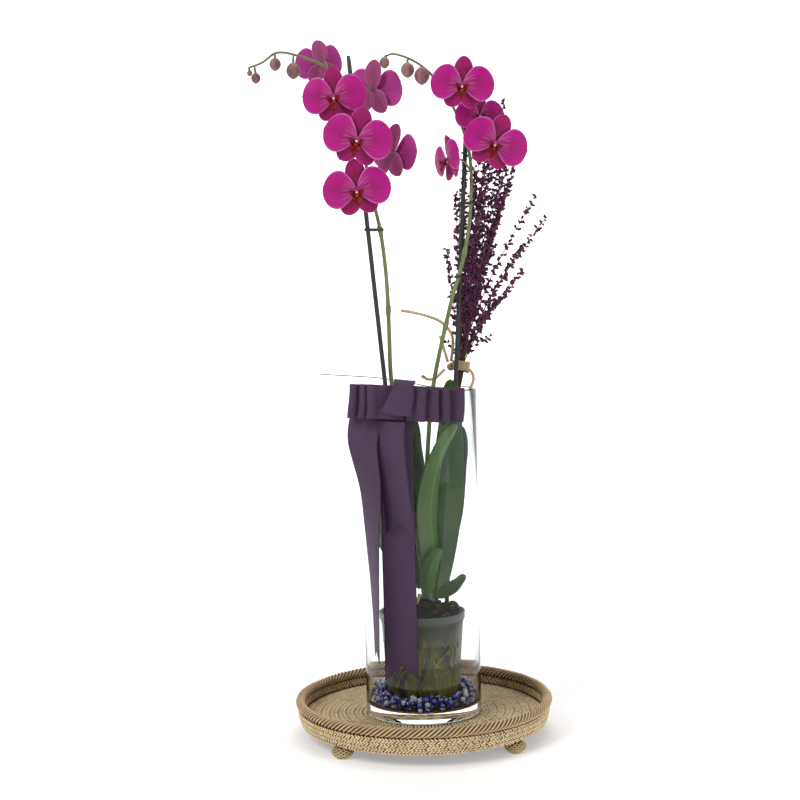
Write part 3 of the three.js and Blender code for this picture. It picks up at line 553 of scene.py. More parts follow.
def jute_finish(colour):
    """Hairy jute: streaks along its strands, with paler and browner fibres."""
    jute = Finish("jute_twine", Roughness=0.85)
    streak = jute.noise(16.0, 5, jute.coords("UV", (4, 1.0, 1)), distort=0.6)
    tone = jute.blend(rgb(180, 148, 106), colour, streak, 0.3, 0.7)
    jute.colour(jute.blend(tone, rgb(232, 214, 178), jute.noise(500.0, 2), 0.5, 0.7, 0, 0.5))
    jute.bump(jute.noise(30.0, 4, jute.coords("UV", (3, 1, 1))), 0.4, 0.8)
    return jute.material


def twisted(angle, share, turns):
    """Section of a three-strand cord at an angle and share."""
    return 0.84 + 0.16 * abs(math.cos(1.5 * (angle - TAU * turns * share)))


def lay_twine(bm, route, radius, rng, fibres=1.0):
    """A twisted cord along a route, with loose fibres that stand off it."""
    turns = route.length / (11 * MM)
    steps = max(8, round(route.length / (1.4 * MM)))
    tube(bm, route, radius * MM, 12, steps, 0, lambda a, s: twisted(a, s, turns))
    for _ in range(round(fibres * route.length / MM)):
        share = rng.uniform(0.01, 0.99)
        along = route.along(share)
        out = along.orthogonal().normalized()
        out.rotate(Matrix.Rotation(rng.uniform(0, TAU), 3, along))
        foot = route.at(share) + out * radius * 0.8 * MM
        lean = along * rng.uniform(-3.5, 3.5) * MM
        tip = foot + out * rng.uniform(0.2, 1.3) * MM + lean
        tube(bm, Route([foot, foot.lerp(tip, 0.6) + out * 0.3 * MM, tip], 2), 0.09 * MM, 3, 2)


class ORCHID_OT_twine_and_wire(bpy.types.Operator):
    """Make the jute twine's free ends and loop, and the wire behind the bow"""

    bl_idname = "orchid.twine_and_wire"
    bl_label = "Twine and Wire"

    def execute(self, context):
        settings = context.scene.orchid_trim
        jute = jute_finish(tuple(settings.twine))
        for name, (offsets, far_end) in TWINE.items():
            rng = random.Random(name)
            route = route_mm([TIE + Vector(offset) for offset in offsets])
            bm = start_mesh()
            lay_twine(bm, route, TWINE_RADIUS, rng)
            if name in ("twine_long_end", "twine_strand", "twine_short_end"):
                self.fray(bm, route, rng)
            made = piece(name.replace("twine", "jute"), bm, [jute], "jute", name)
            path = [route.at(i / 40) for i in range(41)]
            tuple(path[0])
        self.wire()
        return {"FINISHED"}

    @staticmethod
    def fray(bm, route, rng):
        """The end opens into loose fibres."""
        end, along = route.at(1), route.along(1)
        for _ in range(46):
            side = along.orthogonal().normalized()
            side.rotate(Matrix.Rotation(rng.uniform(0, TAU), 3, along))
            foot = end - along * rng.uniform(1, 7) * MM + side * rng.uniform(0.3, 1.5) * MM
            tip = end + along * rng.uniform(-1.5, 1.2) * MM + side * rng.uniform(0.8, 2.6) * MM
            tube(bm, Route([foot, foot.lerp(tip, 0.5) + side * 0.3 * MM, tip], 2), 0.12 * MM, 3, 3)

    @staticmethod
    def wire():
        points = [(x, -(GLASS_RADIUS + out), z + GLASS_TOP - DRAWN_TOP) for x, out, z in WIRE]
        route = route_mm(points)
        line = bpy.data.curves.new("steel_wire", "CURVE")
        line.dimensions, line.bevel_depth, line.bevel_resolution = "3D", 0.6 * MM, 3
        line.use_fill_caps = True
        spline = line.splines.new("POLY")
        steps = 60
        spline.points.add(steps)
        for i, point in enumerate(spline.points):
            point.co = (*route.at(i / steps), 1)
        steel = Finish("florist_wire", Roughness=0.45, Metallic=0.3)
        dull = steel.noise(400.0, 3)
        steel.colour(steel.blend(rgb(84, 86, 84), rgb(112, 114, 110), dull, 0.35, 0.65))
        steel.roughness(steel.span(dull, 0.3, 0.7, 0.25, 0.5))
        steel.bump(dull, 0.02, 0.3)
        line.materials.append(steel.material)
        made = bpy.data.objects.new("steel_wire", line)
        bpy.context.scene.collection.objects.link(made)
        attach(made, "root")
        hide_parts("bow_wire")
        route.at(0)


# ---- Tray ---------------------------------------------------------------------------------------
TRAY_FLOOR = GLASS_LOW.z / MM - 0.3  # top of the tray's floor
BASKET_LOW, BASKET_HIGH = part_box("tray_basket")
TRAY_RADIUS = (BASKET_HIGH.x - BASKET_LOW.x) / 2 / MM
WALL_LOW, WALL_TOP = BASKET_LOW.z / MM, BASKET_HIGH.z / MM


class ORCHID_OT_tray(bpy.types.Operator):
    """Make the tray: a woven floor, twined walls and a plaited rim"""

    bl_idname = "orchid.tray"
    bl_label = "Wicker Tray"

    def execute(self, context):
        settings = context.scene.orchid_tray
        pale, dark = tuple(settings.reed), tuple(settings.reed_dark)
        reed = rattan_finish("woven_reed", pale, dark, 2)
        border = rattan_finish("border_reed", rgb(240, 212, 168), rgb(200, 162, 116), 1)
        self.floor(settings, reed)
        self.wall(settings, reed)
        self.rim(border)
        return {"FINISHED"}

    @staticmethod
    def floor(settings, reed):
        """Rings of short radial strokes, each ring set half a stroke round from the last."""
        bm = start_mesh()
        apart = settings.rows_apart / MM * 1.75
        outer, middle = TRAY_RADIUS - 9.5, TRAY_FLOOR - 1.5
        radius, row = GLASS_RADIUS - 9, 0
        while radius < outer:

            def frame_at(turn, radius=radius, row=row):
                out, onward = around(turn + 0.013 * row)
                lean = 0.22 if row % 2 else -0.16
                point = spot(*(out * (radius + 0.3 * math.sin(9 * turn + row))).xy, middle)
                return point, (out + onward * lean).normalized(), Vector((0, 0, 1))

            strokes(bm, round(TAU * radius / 4.3), frame_at, apart * 1.35, 1.65, 1.3, 0, row)
            radius, row = radius + apart, row + 1
        piece("tray_floor", bm, [reed], "rattan", "tray_basket")
        # a dark disc under the woven floor: painted shade that shows in the gaps between the strokes
        disc = turned([(0, WALL_LOW + 6.7), (outer + 3, WALL_LOW + 6.7), (outer + 3, middle - 0.9),
                       (0, middle - 0.9)], 72)
        shade = rattan_finish("shaded_reed", rgb(104, 74, 42), rgb(74, 50, 28))
        piece("tray_underside", disc, [shade], "rattan")

    @staticmethod
    def wall(settings, reed):
        """Rows of slanting strokes outside and of upright ones inside, over a dark core of painted shade."""
        bm = start_mesh()
        apart = settings.rows_apart / MM * 1.12
        rows = int((WALL_TOP - WALL_LOW) / apart)
        for row in range(rows + 1):
            share = row / rows
            z = WALL_LOW + 1.9 + share * (WALL_TOP - WALL_LOW - 3.4)
            belly = TRAY_RADIUS - 1.9 - 4.2 * (1 - share) ** 1.8

            def outside(turn, z=z, belly=belly, row=row):
                out, onward = around(turn + 0.009 * row)
                face = (out - Vector((0, 0, 0.25 * (1 - share)))).normalized()
                along = (onward + Vector((0, 0, 0.62 if row % 2 else -0.62))).normalized()
                return spot(*(out * belly).xy, z), along, face

            strokes(bm, 224, outside, 6.6, 1.5, 1.3, 0, row)
            if z < TRAY_FLOOR - 1:
                continue

            def inside(turn, z=z, row=row):
                out, onward = around(turn + (0.014 if row % 2 else 0.0))
                return spot(*(out * (TRAY_RADIUS - 7.6)).xy,
                            z), (Vector((0, 0, 1)) + onward * 0.25).normalized(), -out

            strokes(bm, 216, inside, 5.6, 1.55, 1.2, 0, row + 20)
        piece("tray_wall", bm, [reed], "rattan", "tray_basket")
        # the dark core behind the strokes is painted shade, seen through the gaps of the weave
        core = turned(
            [(TRAY_RADIUS - 27, WALL_LOW + 6.8), (TRAY_RADIUS - 23, WALL_LOW + 0.6),
             (TRAY_RADIUS - 8, WALL_LOW + 0.5),
             (TRAY_RADIUS - 3.6, WALL_TOP - 5), (TRAY_RADIUS - 3.6, WALL_TOP + 2.4),
             (TRAY_RADIUS - 6.8, WALL_TOP + 2.4),
             (TRAY_RADIUS - 7, TRAY_FLOOR - 3), (TRAY_RADIUS - 27, WALL_LOW + 6.8)], 96)
        shade = Finish("reed_gap_shade", Roughness=0.85)
        shade.colour(shade.mix(shade.noise(90.0, 3), rgb(66, 44, 24), rgb(104, 74, 44)))
        shade.bump(shade.noise(420.0, 2), 0.5)
        piece("tray_shade_core", core, [shade.material], "rattan")
        under = start_mesh()
        for row in range(5):

            def below(turn, row=row):
                out, onward = around(turn + 0.012 * row)
                return spot(*(out * (TRAY_RADIUS - 9.5 - row * 3.4)).xy,
                            WALL_LOW + 1.7), (out + onward).normalized(), Vector((0, 0, -1))

            strokes(under, 200, below, 5.4, 1.4, 1.2, 0, row)
        piece("tray_underside_rows", under, [reed], "rattan", "tray_basket")

    @staticmethod
    def rim(reed):
        """Strands that wind round the edge beside each other in a rolled border."""
        low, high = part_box("tray_rim")
        middle = (low.z + high.z) / 2 / MM
        radius = (high.x - low.x) / 2 / MM - 6.2
        tall = (high.z - low.z) / 2 / MM
        bm = start_mesh()
        strands, winds = 6, 26
        for strand in range(strands):
            start = TAU * strand / strands

            def place(turn, angle, start=start, strand=strand):
                wind = turn * winds + start
                swell = 1 + 0.06 * math.sin(turn * 31 + strand * 2)
                out, up = math.cos(wind), math.sin(wind)
                r = radius + 3.5 * out
                z = middle + (tall - 2.7) * up
                flat, thick = 1.62 * swell, 2.4 * swell
                # the section's broad side lies along the border's surface
                r -= thick * math.sin(angle) * out + flat * math.cos(angle) * up
                z += flat * math.cos(angle) * out - thick * math.sin(angle) * up
                return spot(r * math.cos(turn), r * math.sin(turn), z)

            ring(bm, winds * 16, 8, place, 0, (0.6, 160))
        piece("tray_border", bm, [reed], "rattan", "tray_rim")


class ORCHID_OT_tray_feet(bpy.types.Operator):
    """Make the four woven ball feet"""

    bl_idname = "orchid.tray_feet"
    bl_label = "Ball Feet"

    def execute(self, context):
        settings = context.scene.orchid_tray
        reed = rattan_finish("foot_reed", rgb(222, 200, 150), rgb(166, 142, 92))
        # a dark reed for the core inside each ball: painted shade between the strands
        gaps = rattan_finish("foot_gap_shade", rgb(78, 60, 30), rgb(54, 38, 20))
        for number in range(1, 5):
            low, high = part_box(f"ball_foot_{number}")
            middle = (low + high) / 2
            wide, tall = (high.x - low.x) / 2, (high.z - low.z) / 2
            r, h = wide / MM, tall / MM
            core = [(0, 0.05), (7.0, 0.05), (r * 0.8, h * 0.5), (r * 0.89, h), (r * 0.8, h * 1.5),
                    (7.0, 2 * h - 0.1)]
            bm = turned([*core, (0, 2 * h - 0.1)], 24, Vector((middle.x, middle.y, 0)))
            core_faces = set(bm.faces)
            strands = 11
            for hand in (-1, 1):
                for k in range(strands):
                    points = []
                    for i in range(9):
                        rise = mix(-0.86, 0.86, i / 8)
                        angle = TAU * k / strands + hand * rise * 1.15
                        weave = 0.945 + 0.035 * math.cos(math.pi * i + (0 if hand > 0 else math.pi))
                        out = math.cos(math.asin(rise)) * wide * weave
                        points.append(middle
                                      + Vector((out * math.cos(angle), out * math.sin(angle), rise * tall)))
                    tube(bm, Route(points, 3), 1.0 * MM, 5, 16)
            # the core inside the strands is dark: painted shade in the gaps between them
            for face in core_faces:
                face.material_index = 1
            piece(f"woven_foot_{number}", bm, [reed, gaps], "rattan", f"ball_foot_{number}")
        return {"FINISHED"}


# ---- Glass, beads, pot and bark -----------------------------------------------------------------
POT_LOW, POT_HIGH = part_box("nursery_pot")
POT_FOOT, POT_TOP = POT_LOW.z / MM, POT_HIGH.z / MM
POT_RIM = (POT_HIGH.x - POT_LOW.x) / 2 / MM
GLASS_FLOOR = POT_FOOT - 0.3
BARK_EDGE = POT_TOP - 9
BARK_TOP = BARK_EDGE + 22


def bark_height(x, y):
    """Height of the bark's mound at a place, in millimetres."""
    share = min(math.hypot(x, y) / 52, 1)
    waves = 1.6 * math.sin(x / 6.5 + 1) * math.cos(y / 7.5)
    return BARK_EDGE + 22 * (1 - share * share) + waves * (1 - share)


class ORCHID_OT_glass(bpy.types.Operator):
    """Make the glass cylinder with its thick foot"""

    bl_idname = "orchid.glass"
    bl_label = "Glass Cylinder"

    def execute(self, context):
        foot, top, out, inner = GLASS_LOW.z / MM, GLASS_TOP, GLASS_RADIUS, GLASS_RADIUS - 3.0
        profile = [
            (0, foot + 0.8), (out - 12, foot + 0.6), (out - 6, foot + 0.05), (out - 2.4, foot + 0.1),
            (out - 0.7, foot + 0.9),
            (out - 0.1, foot + 2.6), (out, foot + 6), (out, foot + 130), (out, foot + 270), (out, top - 1.6),
            (out - 0.45, top - 0.5), (out - 1.4, top), (inner + 0.7, top), (inner + 0.1, top - 0.7),
            (inner, top - 2),
            (inner, foot + 270), (inner, foot + 130), (inner, GLASS_FLOOR + 8),
            (inner - 0.7, GLASS_FLOOR + 3.5),
            (inner - 3, GLASS_FLOOR + 0.8), (inner - 8, GLASS_FLOOR), (0, GLASS_FLOOR),
        ]
        bm = turned(profile, 128)
        clear = Finish("clear_glass", Roughness=0.0, IOR=1.46, Transmission_Weight=1.0,
                       Specular_Tint=(0.3, 0.3, 0.3))
        tint = clear.noise(3.0, 2)
        clear.colour(clear.mix(tint, rgb(253, 255, 255), rgb(246, 251, 250)))
        piece("glass_cylinder", bm, [clear.material], "vase_glass", "glass_vase")
        return {"FINISHED"}


class ORCHID_OT_beads(bpy.types.Operator):
    """Make the loose glass beads round the foot of the pot"""

    bl_idname = "orchid.beads"
    bl_label = "Glass Beads"

    def execute(self, context):
        settings = context.scene.orchid_glass
        rng = random.Random(11)
        base = settings.bead / MM
        placed, bm = [], start_mesh()
        inner, outer = POT_RIM - 8.8, GLASS_RADIUS - 3.8
        for _ in range(settings.beads * 6):
            if len(placed) >= settings.beads:
                break
            radius = base * rng.uniform(0.8, 1.08)
            turn, way = rng.uniform(0, TAU), rng.uniform(0, 1)
            r = mix(inner + radius, outer - radius, way)
            x, y, z = r * math.cos(turn), r * math.sin(turn), GLASS_FLOOR + radius
            for ox, oy, oz, other in placed:
                near = (radius + other) * 0.9
                flat = (x - ox) ** 2 + (y - oy) ** 2
                if flat < near * near:
                    z = max(z, oz + math.sqrt(near * near - flat))
            crest = 21 + 1.5 * math.sin(3 * turn)
            if z + radius > GLASS_FLOOR + crest - 6 * abs(way - 0.45):
                continue
            placed.append((x, y, z, radius))
        ball = start_mesh()
        blob(ball, Vector(), (1, 1, 1), 0, None, 0, 0, 10, 7)
        ball = keep_shape(ball, "bead_shape")
        for x, y, z, radius in placed:
            kind = rng.random()
            material = 0 if kind < 0.66 else 1 if kind < 0.82 else 2
            turn = Matrix.Rotation(rng.uniform(0, TAU), 4,
                                   Vector((rng.random() - 0.5, rng.random() - 0.5, 0.3)).normalized())
            sizes = Matrix.Diagonal((radius * MM, radius * MM, radius * 0.86 * MM, 1))
            stamp(bm, ball, Matrix.Translation(spot(x, y, z)) @ turn @ sizes, material)
        blue = self.bead("cobalt_bead", tuple(settings.bead_blue), rgb(14, 12, 110), 0.05)
        dark = self.bead("midnight_bead", rgb(16, 12, 84), rgb(60, 80, 226), 0.05)
        white = self.bead("clear_bead", rgb(255, 255, 255), rgb(206, 216, 250), 0.25)
        piece("glass_beads", bm, [blue, dark, white], "bead_glass", "bead_bed")
        return {"FINISHED"}

    @staticmethod
    def bead(name, colour, other, clear):
        glass = Finish(name, Roughness=0.04, IOR=1.5, Transmission_Weight=clear, Coat_Weight=1.0,
                       Coat_Roughness=0.02, Coat_IOR=1.9)
        swirl = glass.noise(260.0, 2, distort=1.5)
        glass.colour(glass.blend(colour, other, swirl, 0.42, 0.6))
        glass.bump(glass.noise(140.0, 1), 0.2, 0.15)
        return glass.material


class ORCHID_OT_pot(bpy.types.Operator):
    """Make the thin nursery pot with its rings and pale lip"""

    bl_idname = "orchid.pot"
    bl_label = "Nursery Pot"

    def execute(self, context):
        settings = context.scene.orchid_glass
        rim, foot, top = POT_RIM - 0.1, POT_FOOT, POT_TOP
        wall = 1.3
        lip = top - 9

        def side(z):
            return mix(46.4, rim - 2.5, (z - foot) / (lip - foot))

        profile = [(0, foot + 1.2), (30, foot + 1.2), (32, foot + 0.1), (side(foot) - 1, foot + 0.1),
                   (side(foot + 1.2), foot + 1.2)]
        for step in (24, 52, 80):
            z = foot + step
            profile += [(side(z - 1.2), z - 1.2), (side(z) + 0.35, z - 0.4), (side(z) + 0.35, z + 0.4),
                        (side(z + 1.2), z + 1.2)]
        profile += [(side(lip - 4.6), lip - 4.6), (side(lip - 4) + 0.7, lip - 4.1),
                    (side(lip - 3) + 0.7, lip - 3), (side(lip - 2.4), lip - 2.4),
                    (side(lip) - 0.1, lip - 0.2), (rim - 1.0, lip), (rim - 0.3, lip + 0.6),
                    (rim - 0.5, top - 1.6), (rim, top - 1.2), (rim, top - 0.2),
                    (rim - 0.5, top), (rim - 1.4, top), (rim - 1.7, top - 0.6), (rim - 1.9, lip + 1.4),
                    (side(lip) - wall, lip),
                    (side(foot) - wall, foot + 2.4), (0, foot + 2.4)]
        bm = turned(profile, 96)
        pot = Finish("smoky_pot", Roughness=0.45, Coat_Weight=0.08, Coat_Roughness=0.2,
                     Specular_IOR_Level=0.4)
        height = pot.split(pot.where.outputs["Object"])[2]
        # roots pressed against the thin wall show through as pale yellow-green threads and clumps
        long = pot.coords("Object", (1, 1, 0.42))
        warp = pot.noise(26.0, 2, long, 0.5, 1.2)
        root = pot.noise(34.0, 1.5, long, 0.4, 3.2)
        thread = pot.span(pot.sum("ABSOLUTE", pot.sum("SUBTRACT", root, 0.5)), 0.0, 0.05, 1, 0)
        clump = pot.span(warp, 0.5, 0.66)
        low = pot.span(height, (foot + 76) * MM, (foot + 98) * MM, 1, 0.05)
        seen = pot.sum("MULTIPLY",
                       pot.sum("MAXIMUM", pot.sum("MULTIPLY", thread, 0.95),
                               pot.sum("MULTIPLY", clump, 0.55)), low)
        haze = pot.noise(14.0, 3)
        base = pot.blend(rgb(44, 40, 40), tuple(settings.pot), haze, 0.35, 0.65)
        base = pot.blend(base, rgb(60, 56, 30), height, (foot + 4) * MM, (foot + 40) * MM, 0.5, 0)
        body = pot.mix(seen, base, rgb(150, 146, 44))
        upper = pot.span(height, (lip - 26) * MM, (lip - 2) * MM)
        body = pot.mix(pot.sum("MULTIPLY", upper, 0.5), body, rgb(104, 106, 94))
        pot.colour(pot.blend(body, rgb(122, 128, 122), height, (lip - 1) * MM, (lip + 1) * MM, 0, 0.8))
        pot.roughness(pot.span(haze, 0.3, 0.7, 0.28, 0.48))
        pot.bump(pot.noise(70.0, 3), 0.25, 0.25)
        piece("smoky_nursery_pot", bm, [pot.material], "pot_plastic", "nursery_pot")
        return {"FINISHED"}


class ORCHID_OT_bark(bpy.types.Operator):
    """Make the bark mix: a dark mound under loose chunky chips"""

    bl_idname = "orchid.bark"
    bl_label = "Bark Mix"

    def execute(self, context):
        rng = random.Random(5)
        bm = start_mesh()
        edge = POT_RIM - 5.2

        def place(u, v):
            r = edge * v
            x, y = r * math.cos(TAU * u), r * math.sin(TAU * u)
            grain = 1.4 * noise.noise(Vector((x, y, 0)) * 0.16)
            return spot(x, y, bark_height(x, y) - 3.0 + grain)

        surface(bm, 48, 20, place, weld=WELD)
        bmesh.ops.reverse_faces(bm, faces=bm.faces[:])
        rim = [edge_ for edge_ in bm.edges if len(edge_.link_faces) == 1]
        down = bmesh.ops.extrude_edge_only(bm, edges=rim)["geom"]
        ring_verts = [item for item in down if isinstance(item, bmesh.types.BMVert)]
        for vert in ring_verts:
            vert.co.z = (POT_FOOT + 3.2) * MM
            vert.co.xy = AXIS.xy + (vert.co.xy - AXIS.xy) * 0.9
        foot = [item for item in down if isinstance(item, bmesh.types.BMEdge) and len(item.link_faces) == 1]
        bmesh.ops.contextual_create(bm, geom=foot)
        bmesh.ops.recalc_face_normals(bm, faces=bm.faces[:])
        for i in range(230):
            way, turn = math.sqrt(rng.random()), rng.uniform(0, TAU)
            r = way * (edge - 3.5)
            x, y = r * math.cos(turn), r * math.sin(turn)
            long = rng.uniform(3.2, 8.2)
            sizes = (long * MM, long * rng.uniform(0.45, 0.8) * MM, long * rng.uniform(0.25, 0.5) * MM)
            spin = Matrix.Rotation(rng.uniform(0, TAU), 4, "Z")
            spin = spin @ Matrix.Rotation(rng.uniform(-0.7, 0.7), 4, "X")
            spin = spin @ Matrix.Rotation(rng.uniform(-0.6, 0.6), 4, "Y")
            lift = rng.uniform(-1.2, 2.6)
            verts = bmesh.ops.create_icosphere(bm, subdivisions=1, radius=1.0)["verts"]
            for vert in verts:
                chunk = 1 + 0.55 * noise.noise(vert.co * 1.3 + Vector((i, 0, 0)))
                corner = Vector(a * b for a, b in zip(vert.co * chunk, sizes))
                vert.co = spot(x, y, bark_height(x, y) + lift - 1) + spin.to_3x3() @ corner
            finish_faces(bm, verts, rng.choice((0, 0, 0, 1)))
            for face in {face for vert in verts for face in vert.link_faces}:
                face.smooth = False
        dark = self.bark("bark_chip", rgb(22, 15, 10), rgb(56, 38, 24))
        pale = self.bark("pale_chip", rgb(56, 44, 22), rgb(104, 92, 44))
        piece("bark_chips", bm, [dark, pale], "bark", "bark_mix")
        return {"FINISHED"}

    @staticmethod
    def bark(name, low, high):
        chip = Finish(name, Roughness=0.9)
        grain = chip.noise(190.0, 5, chip.coords("Object", (1, 1, 2.4)), 0.65)
        chip.colour(chip.blend(low, high, grain, 0.35, 0.66))
        chip.bump(chip.noise(420.0, 4), 0.9, 0.8)
        return chip.material


class ORCHID_OT_roots_and_crown(bpy.types.Operator):
    """Make the aerial roots on the bark and the crown that the leaves grow from"""

    bl_idname = "orchid.roots_and_crown"
    bl_label = "Roots and Crown"

    def execute(self, context):
        def on_bark(x, y, lift):
            return spot(x, y, bark_height(x, y) + lift)

        dark = self.root("old_root", rgb(58, 50, 42), rgb(96, 84, 66))
        pale = self.root("young_root", rgb(150, 156, 78), rgb(196, 196, 130))
        for name, finish, places in (
            ("root_dark", dark, [(32, -15, 4), (38, -18, 15), (44, -19, 17), (47, -20, 8)]),
            ("root_pale", pale, [(-3, -16, 14), (-5, -20, 8), (-10, -25, 4), (-18, -28, 4)]),
        ):
            bm = start_mesh()
            route = Route([on_bark(*place) for place in places])
            tube(bm, route, lambda t: (2.1 - 0.5 * t ** 3) * MM, 12, 24, 0, lambda a,
                 s: 1 + 0.09 * math.sin(9 * s + 2 * a))
            piece(f"aerial_{name}", bm, [finish], "root_skin", name)
        bm = start_mesh()
        low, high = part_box("plant_crown")
        middle = (low + high) / 2
        foot, top = low.z + 0.2 * MM, high.z - 0.2 * MM
        stump = Route([Vector((middle.x, middle.y, foot)), Vector((middle.x, middle.y, (foot + top) / 2)),
                       Vector((middle.x, middle.y, top))])
        tube(bm, stump, lambda t: (8.6 - 1.6 * t) * MM, 24, 16, 0, lambda a,
             s: 1 + 0.05 * math.sin(3 * a + 4 * s))
        for k in range(7):
            angle, rise = TAU * k * 0.5 + 0.5 * math.sin(k * 2.4), k / 6
            out, side = around(angle)
            start = Vector((middle.x, middle.y, mix(foot + 8 * MM, top - 8 * MM, rise)))

            def sheath(u, v, out=out, side=side, start=start):
                bend = (u - 0.5) * 2.3
                wide = mix(9.3, 7.4, v) * MM
                rise = Vector((0, 0, v * 11 * MM - abs(bend) * 2 * MM))
                return start + out * math.cos(bend) * wide + side * math.sin(bend) * wide + rise

            surface(bm, 12, 5, sheath)
        green = leaf_finish("crown_green", rgb(86, 112, 48), rgb(128, 142, 84))
        piece("leaf_crown", bm, [green], "stem_green", "plant_crown")
        return {"FINISHED"}

    @staticmethod
    def root(name, low, high):
        skin = Finish(name, Roughness=0.75)
        band = skin.noise(14.0, 4, skin.coords("UV", (1, 0.7, 1)))
        skin.colour(skin.blend(low, high, band, 0.35, 0.65))
        skin.bump(skin.noise(300.0, 3), 0.4, 0.6)
        return skin.material


# ---- Leaves -------------------------------------------------------------------------------------
LEAVES = {  # centre line, direction of the width, width and fold
    "leaf_front": ([(14.5, -13.5, 190), (14, -24, 235), (13, -34, 300), (26, -38, 360), (48, -32, 400)],
                   (0.8, 0.6, 0), 33, 0.5),
    "leaf_right": ([(12, 6, 178), (14, 10, 195), (20, 19, 225), (34, 28, 270), (44, 29, 320), (53, 29, 358),
                    (58, 30, 388)], (0.9, -0.43, 0), 40, 0.22),
    "leaf_tall": ([(17, -5, 174), (21.5, -9, 196), (27, -11, 240), (33, -12, 300), (39, -11, 370),
                   (42, -9, 425), (41, -8, 459)], (0.98, -0.1, 0), 42, 0.2),
    "leaf_left": ([(-1.5, -11.5, 190), (-14, -19.5, 210), (-40, -13, 250), (-54, -6, 310), (-55, -6, 360),
                   (-52, -8, 392)], (0.75, 0.66, 0), 33, 0.2),
    "leaf_low": ([(17.5, -8, 178), (34, -13, 186), (46, -13, 195), (56, -12, 206)], (-0.35, 0.6, 0.7), 18,
                 0.2),
    "leaf_inner": ([(6, -14, 181), (8, -25, 204), (14, -34, 228), (25, -38, 245)], (1, 0, 0), 22, 0.3),
    "leaf_back": ([(0, 9.5, 192), (-9, 24, 235), (-14, 37, 300), (-14, 43, 360), (-14, 44, 404)],
                  (0.95, 0.2, 0), 52, 0.12),
}


def leaf_finish(name, deep, pale):
    """A waxy leaf: a pale midrib, faint veins along it, and yellower patches."""
    leaf = Finish(name, Roughness=0.42, Coat_Weight=0.15, Coat_Roughness=0.25)
    across, along = leaf.split(leaf.where.outputs["UV"])[:2]
    rib = leaf.span(leaf.sum("ABSOLUTE", leaf.sum("SUBTRACT", across, 0.5)), 0.0, 0.035, 1, 0)
    vein = leaf.noise(1.0, 3, leaf.coords("UV", (46, 1.2, 1)))
    patch = leaf.noise(18.0, 3)
    tone = leaf.blend(deep, pale, vein, 0.35, 0.65, 0, 0.35)
    tone = leaf.blend(tone, rgb(104, 122, 44), patch, 0.45, 0.7, 0, 0.35)
    tone = leaf.blend(tone, rgb(132, 146, 84), along, 0.0, 0.16, 0.6, 0)
    leaf.colour(leaf.mix(leaf.sum("MULTIPLY", rib, 0.5), tone, pale))
    leaf.roughness(leaf.span(patch, 0.3, 0.7, 0.28, 0.42))
    leaf.bump(vein, 0.35, 0.35)
    return leaf.material


def leaf_width(t):
    """Half width of a leaf as a share of its greatest half width: a waisted foot and a rounded tip."""
    body = min(t, 0.8)
    share = 0.28 + 0.72 * math.sin(math.pi * (0.05 + 0.95 * body)) ** 0.8 - 0.1 * body ** 4
    share *= mix(0.4, 1.0, min(1.0, t / 0.1))
    return share * math.sqrt(max(0.0, 1 - (max(0.0, t - 0.8) / 0.2) ** 2.2))


class ORCHID_OT_leaves(bpy.types.Operator):
    """Make the folded strap leaves, with a paler underside"""

    bl_idname = "orchid.leaves"
    bl_label = "Leaves"

    def execute(self, context):
        settings = context.scene.orchid_plant
        face = leaf_finish("leaf_face", tuple(settings.leaf), rgb(72, 112, 40))
        under = leaf_finish("leaf_underside", rgb(84, 112, 56), rgb(128, 152, 92))
        fresh = leaf_finish("fresh_leaf", rgb(70, 112, 34), rgb(120, 158, 70))
        for name, (points, across, width, fold) in LEAVES.items():
            route, bm = route_mm(points), start_mesh()
            direction = Vector(across)

            def place(u, v, route=route, direction=direction, width=width, fold=fold, name=name):
                t = 1 - (1 - v) ** 1.25
                along = route.along(t)
                side = (direction - along * direction.dot(along)).normalized()
                up = along.cross(side)
                half = width / 2 * leaf_width(t) * MM
                x = 2 * u - 1
                ruffle = 0.9 * MM * math.sin(11 * v + 3 * x + len(name)) * x * x * math.sin(math.pi * v)
                rise = fold * (abs(x) ** 1.3) * half + ruffle
                groove = -0.5 * MM * math.exp(-(x / 0.07) ** 2)
                return route.at(t) + side * x * half + up * (rise + groove)

            surface(bm, 20, 44, place)
            bmesh.ops.remove_doubles(bm, verts=bm.verts[:], dist=1e-6)
            bright = name in ("leaf_front", "leaf_low", "leaf_inner")
            made = piece(f"strap_{name}", bm, [fresh if bright else face, under], "leaf_green", name)
            thicken(made, 1.5, back=1, even=False)
        return {"FINISHED"}


# ---- Stakes and clips ---------------------------------------------------------------------------
STAKES = {
    "left": ((-8, 0, BARK_TOP - 90), (-81, -3, 872)),
    "right": ((27.5, 8, BARK_TOP - 90), (68.5, 7, 800)),
}
CLIPS = {"clip_left": ("left", 652), "clip_right_low": ("right", 590), "clip_right_high": ("right", 684)}


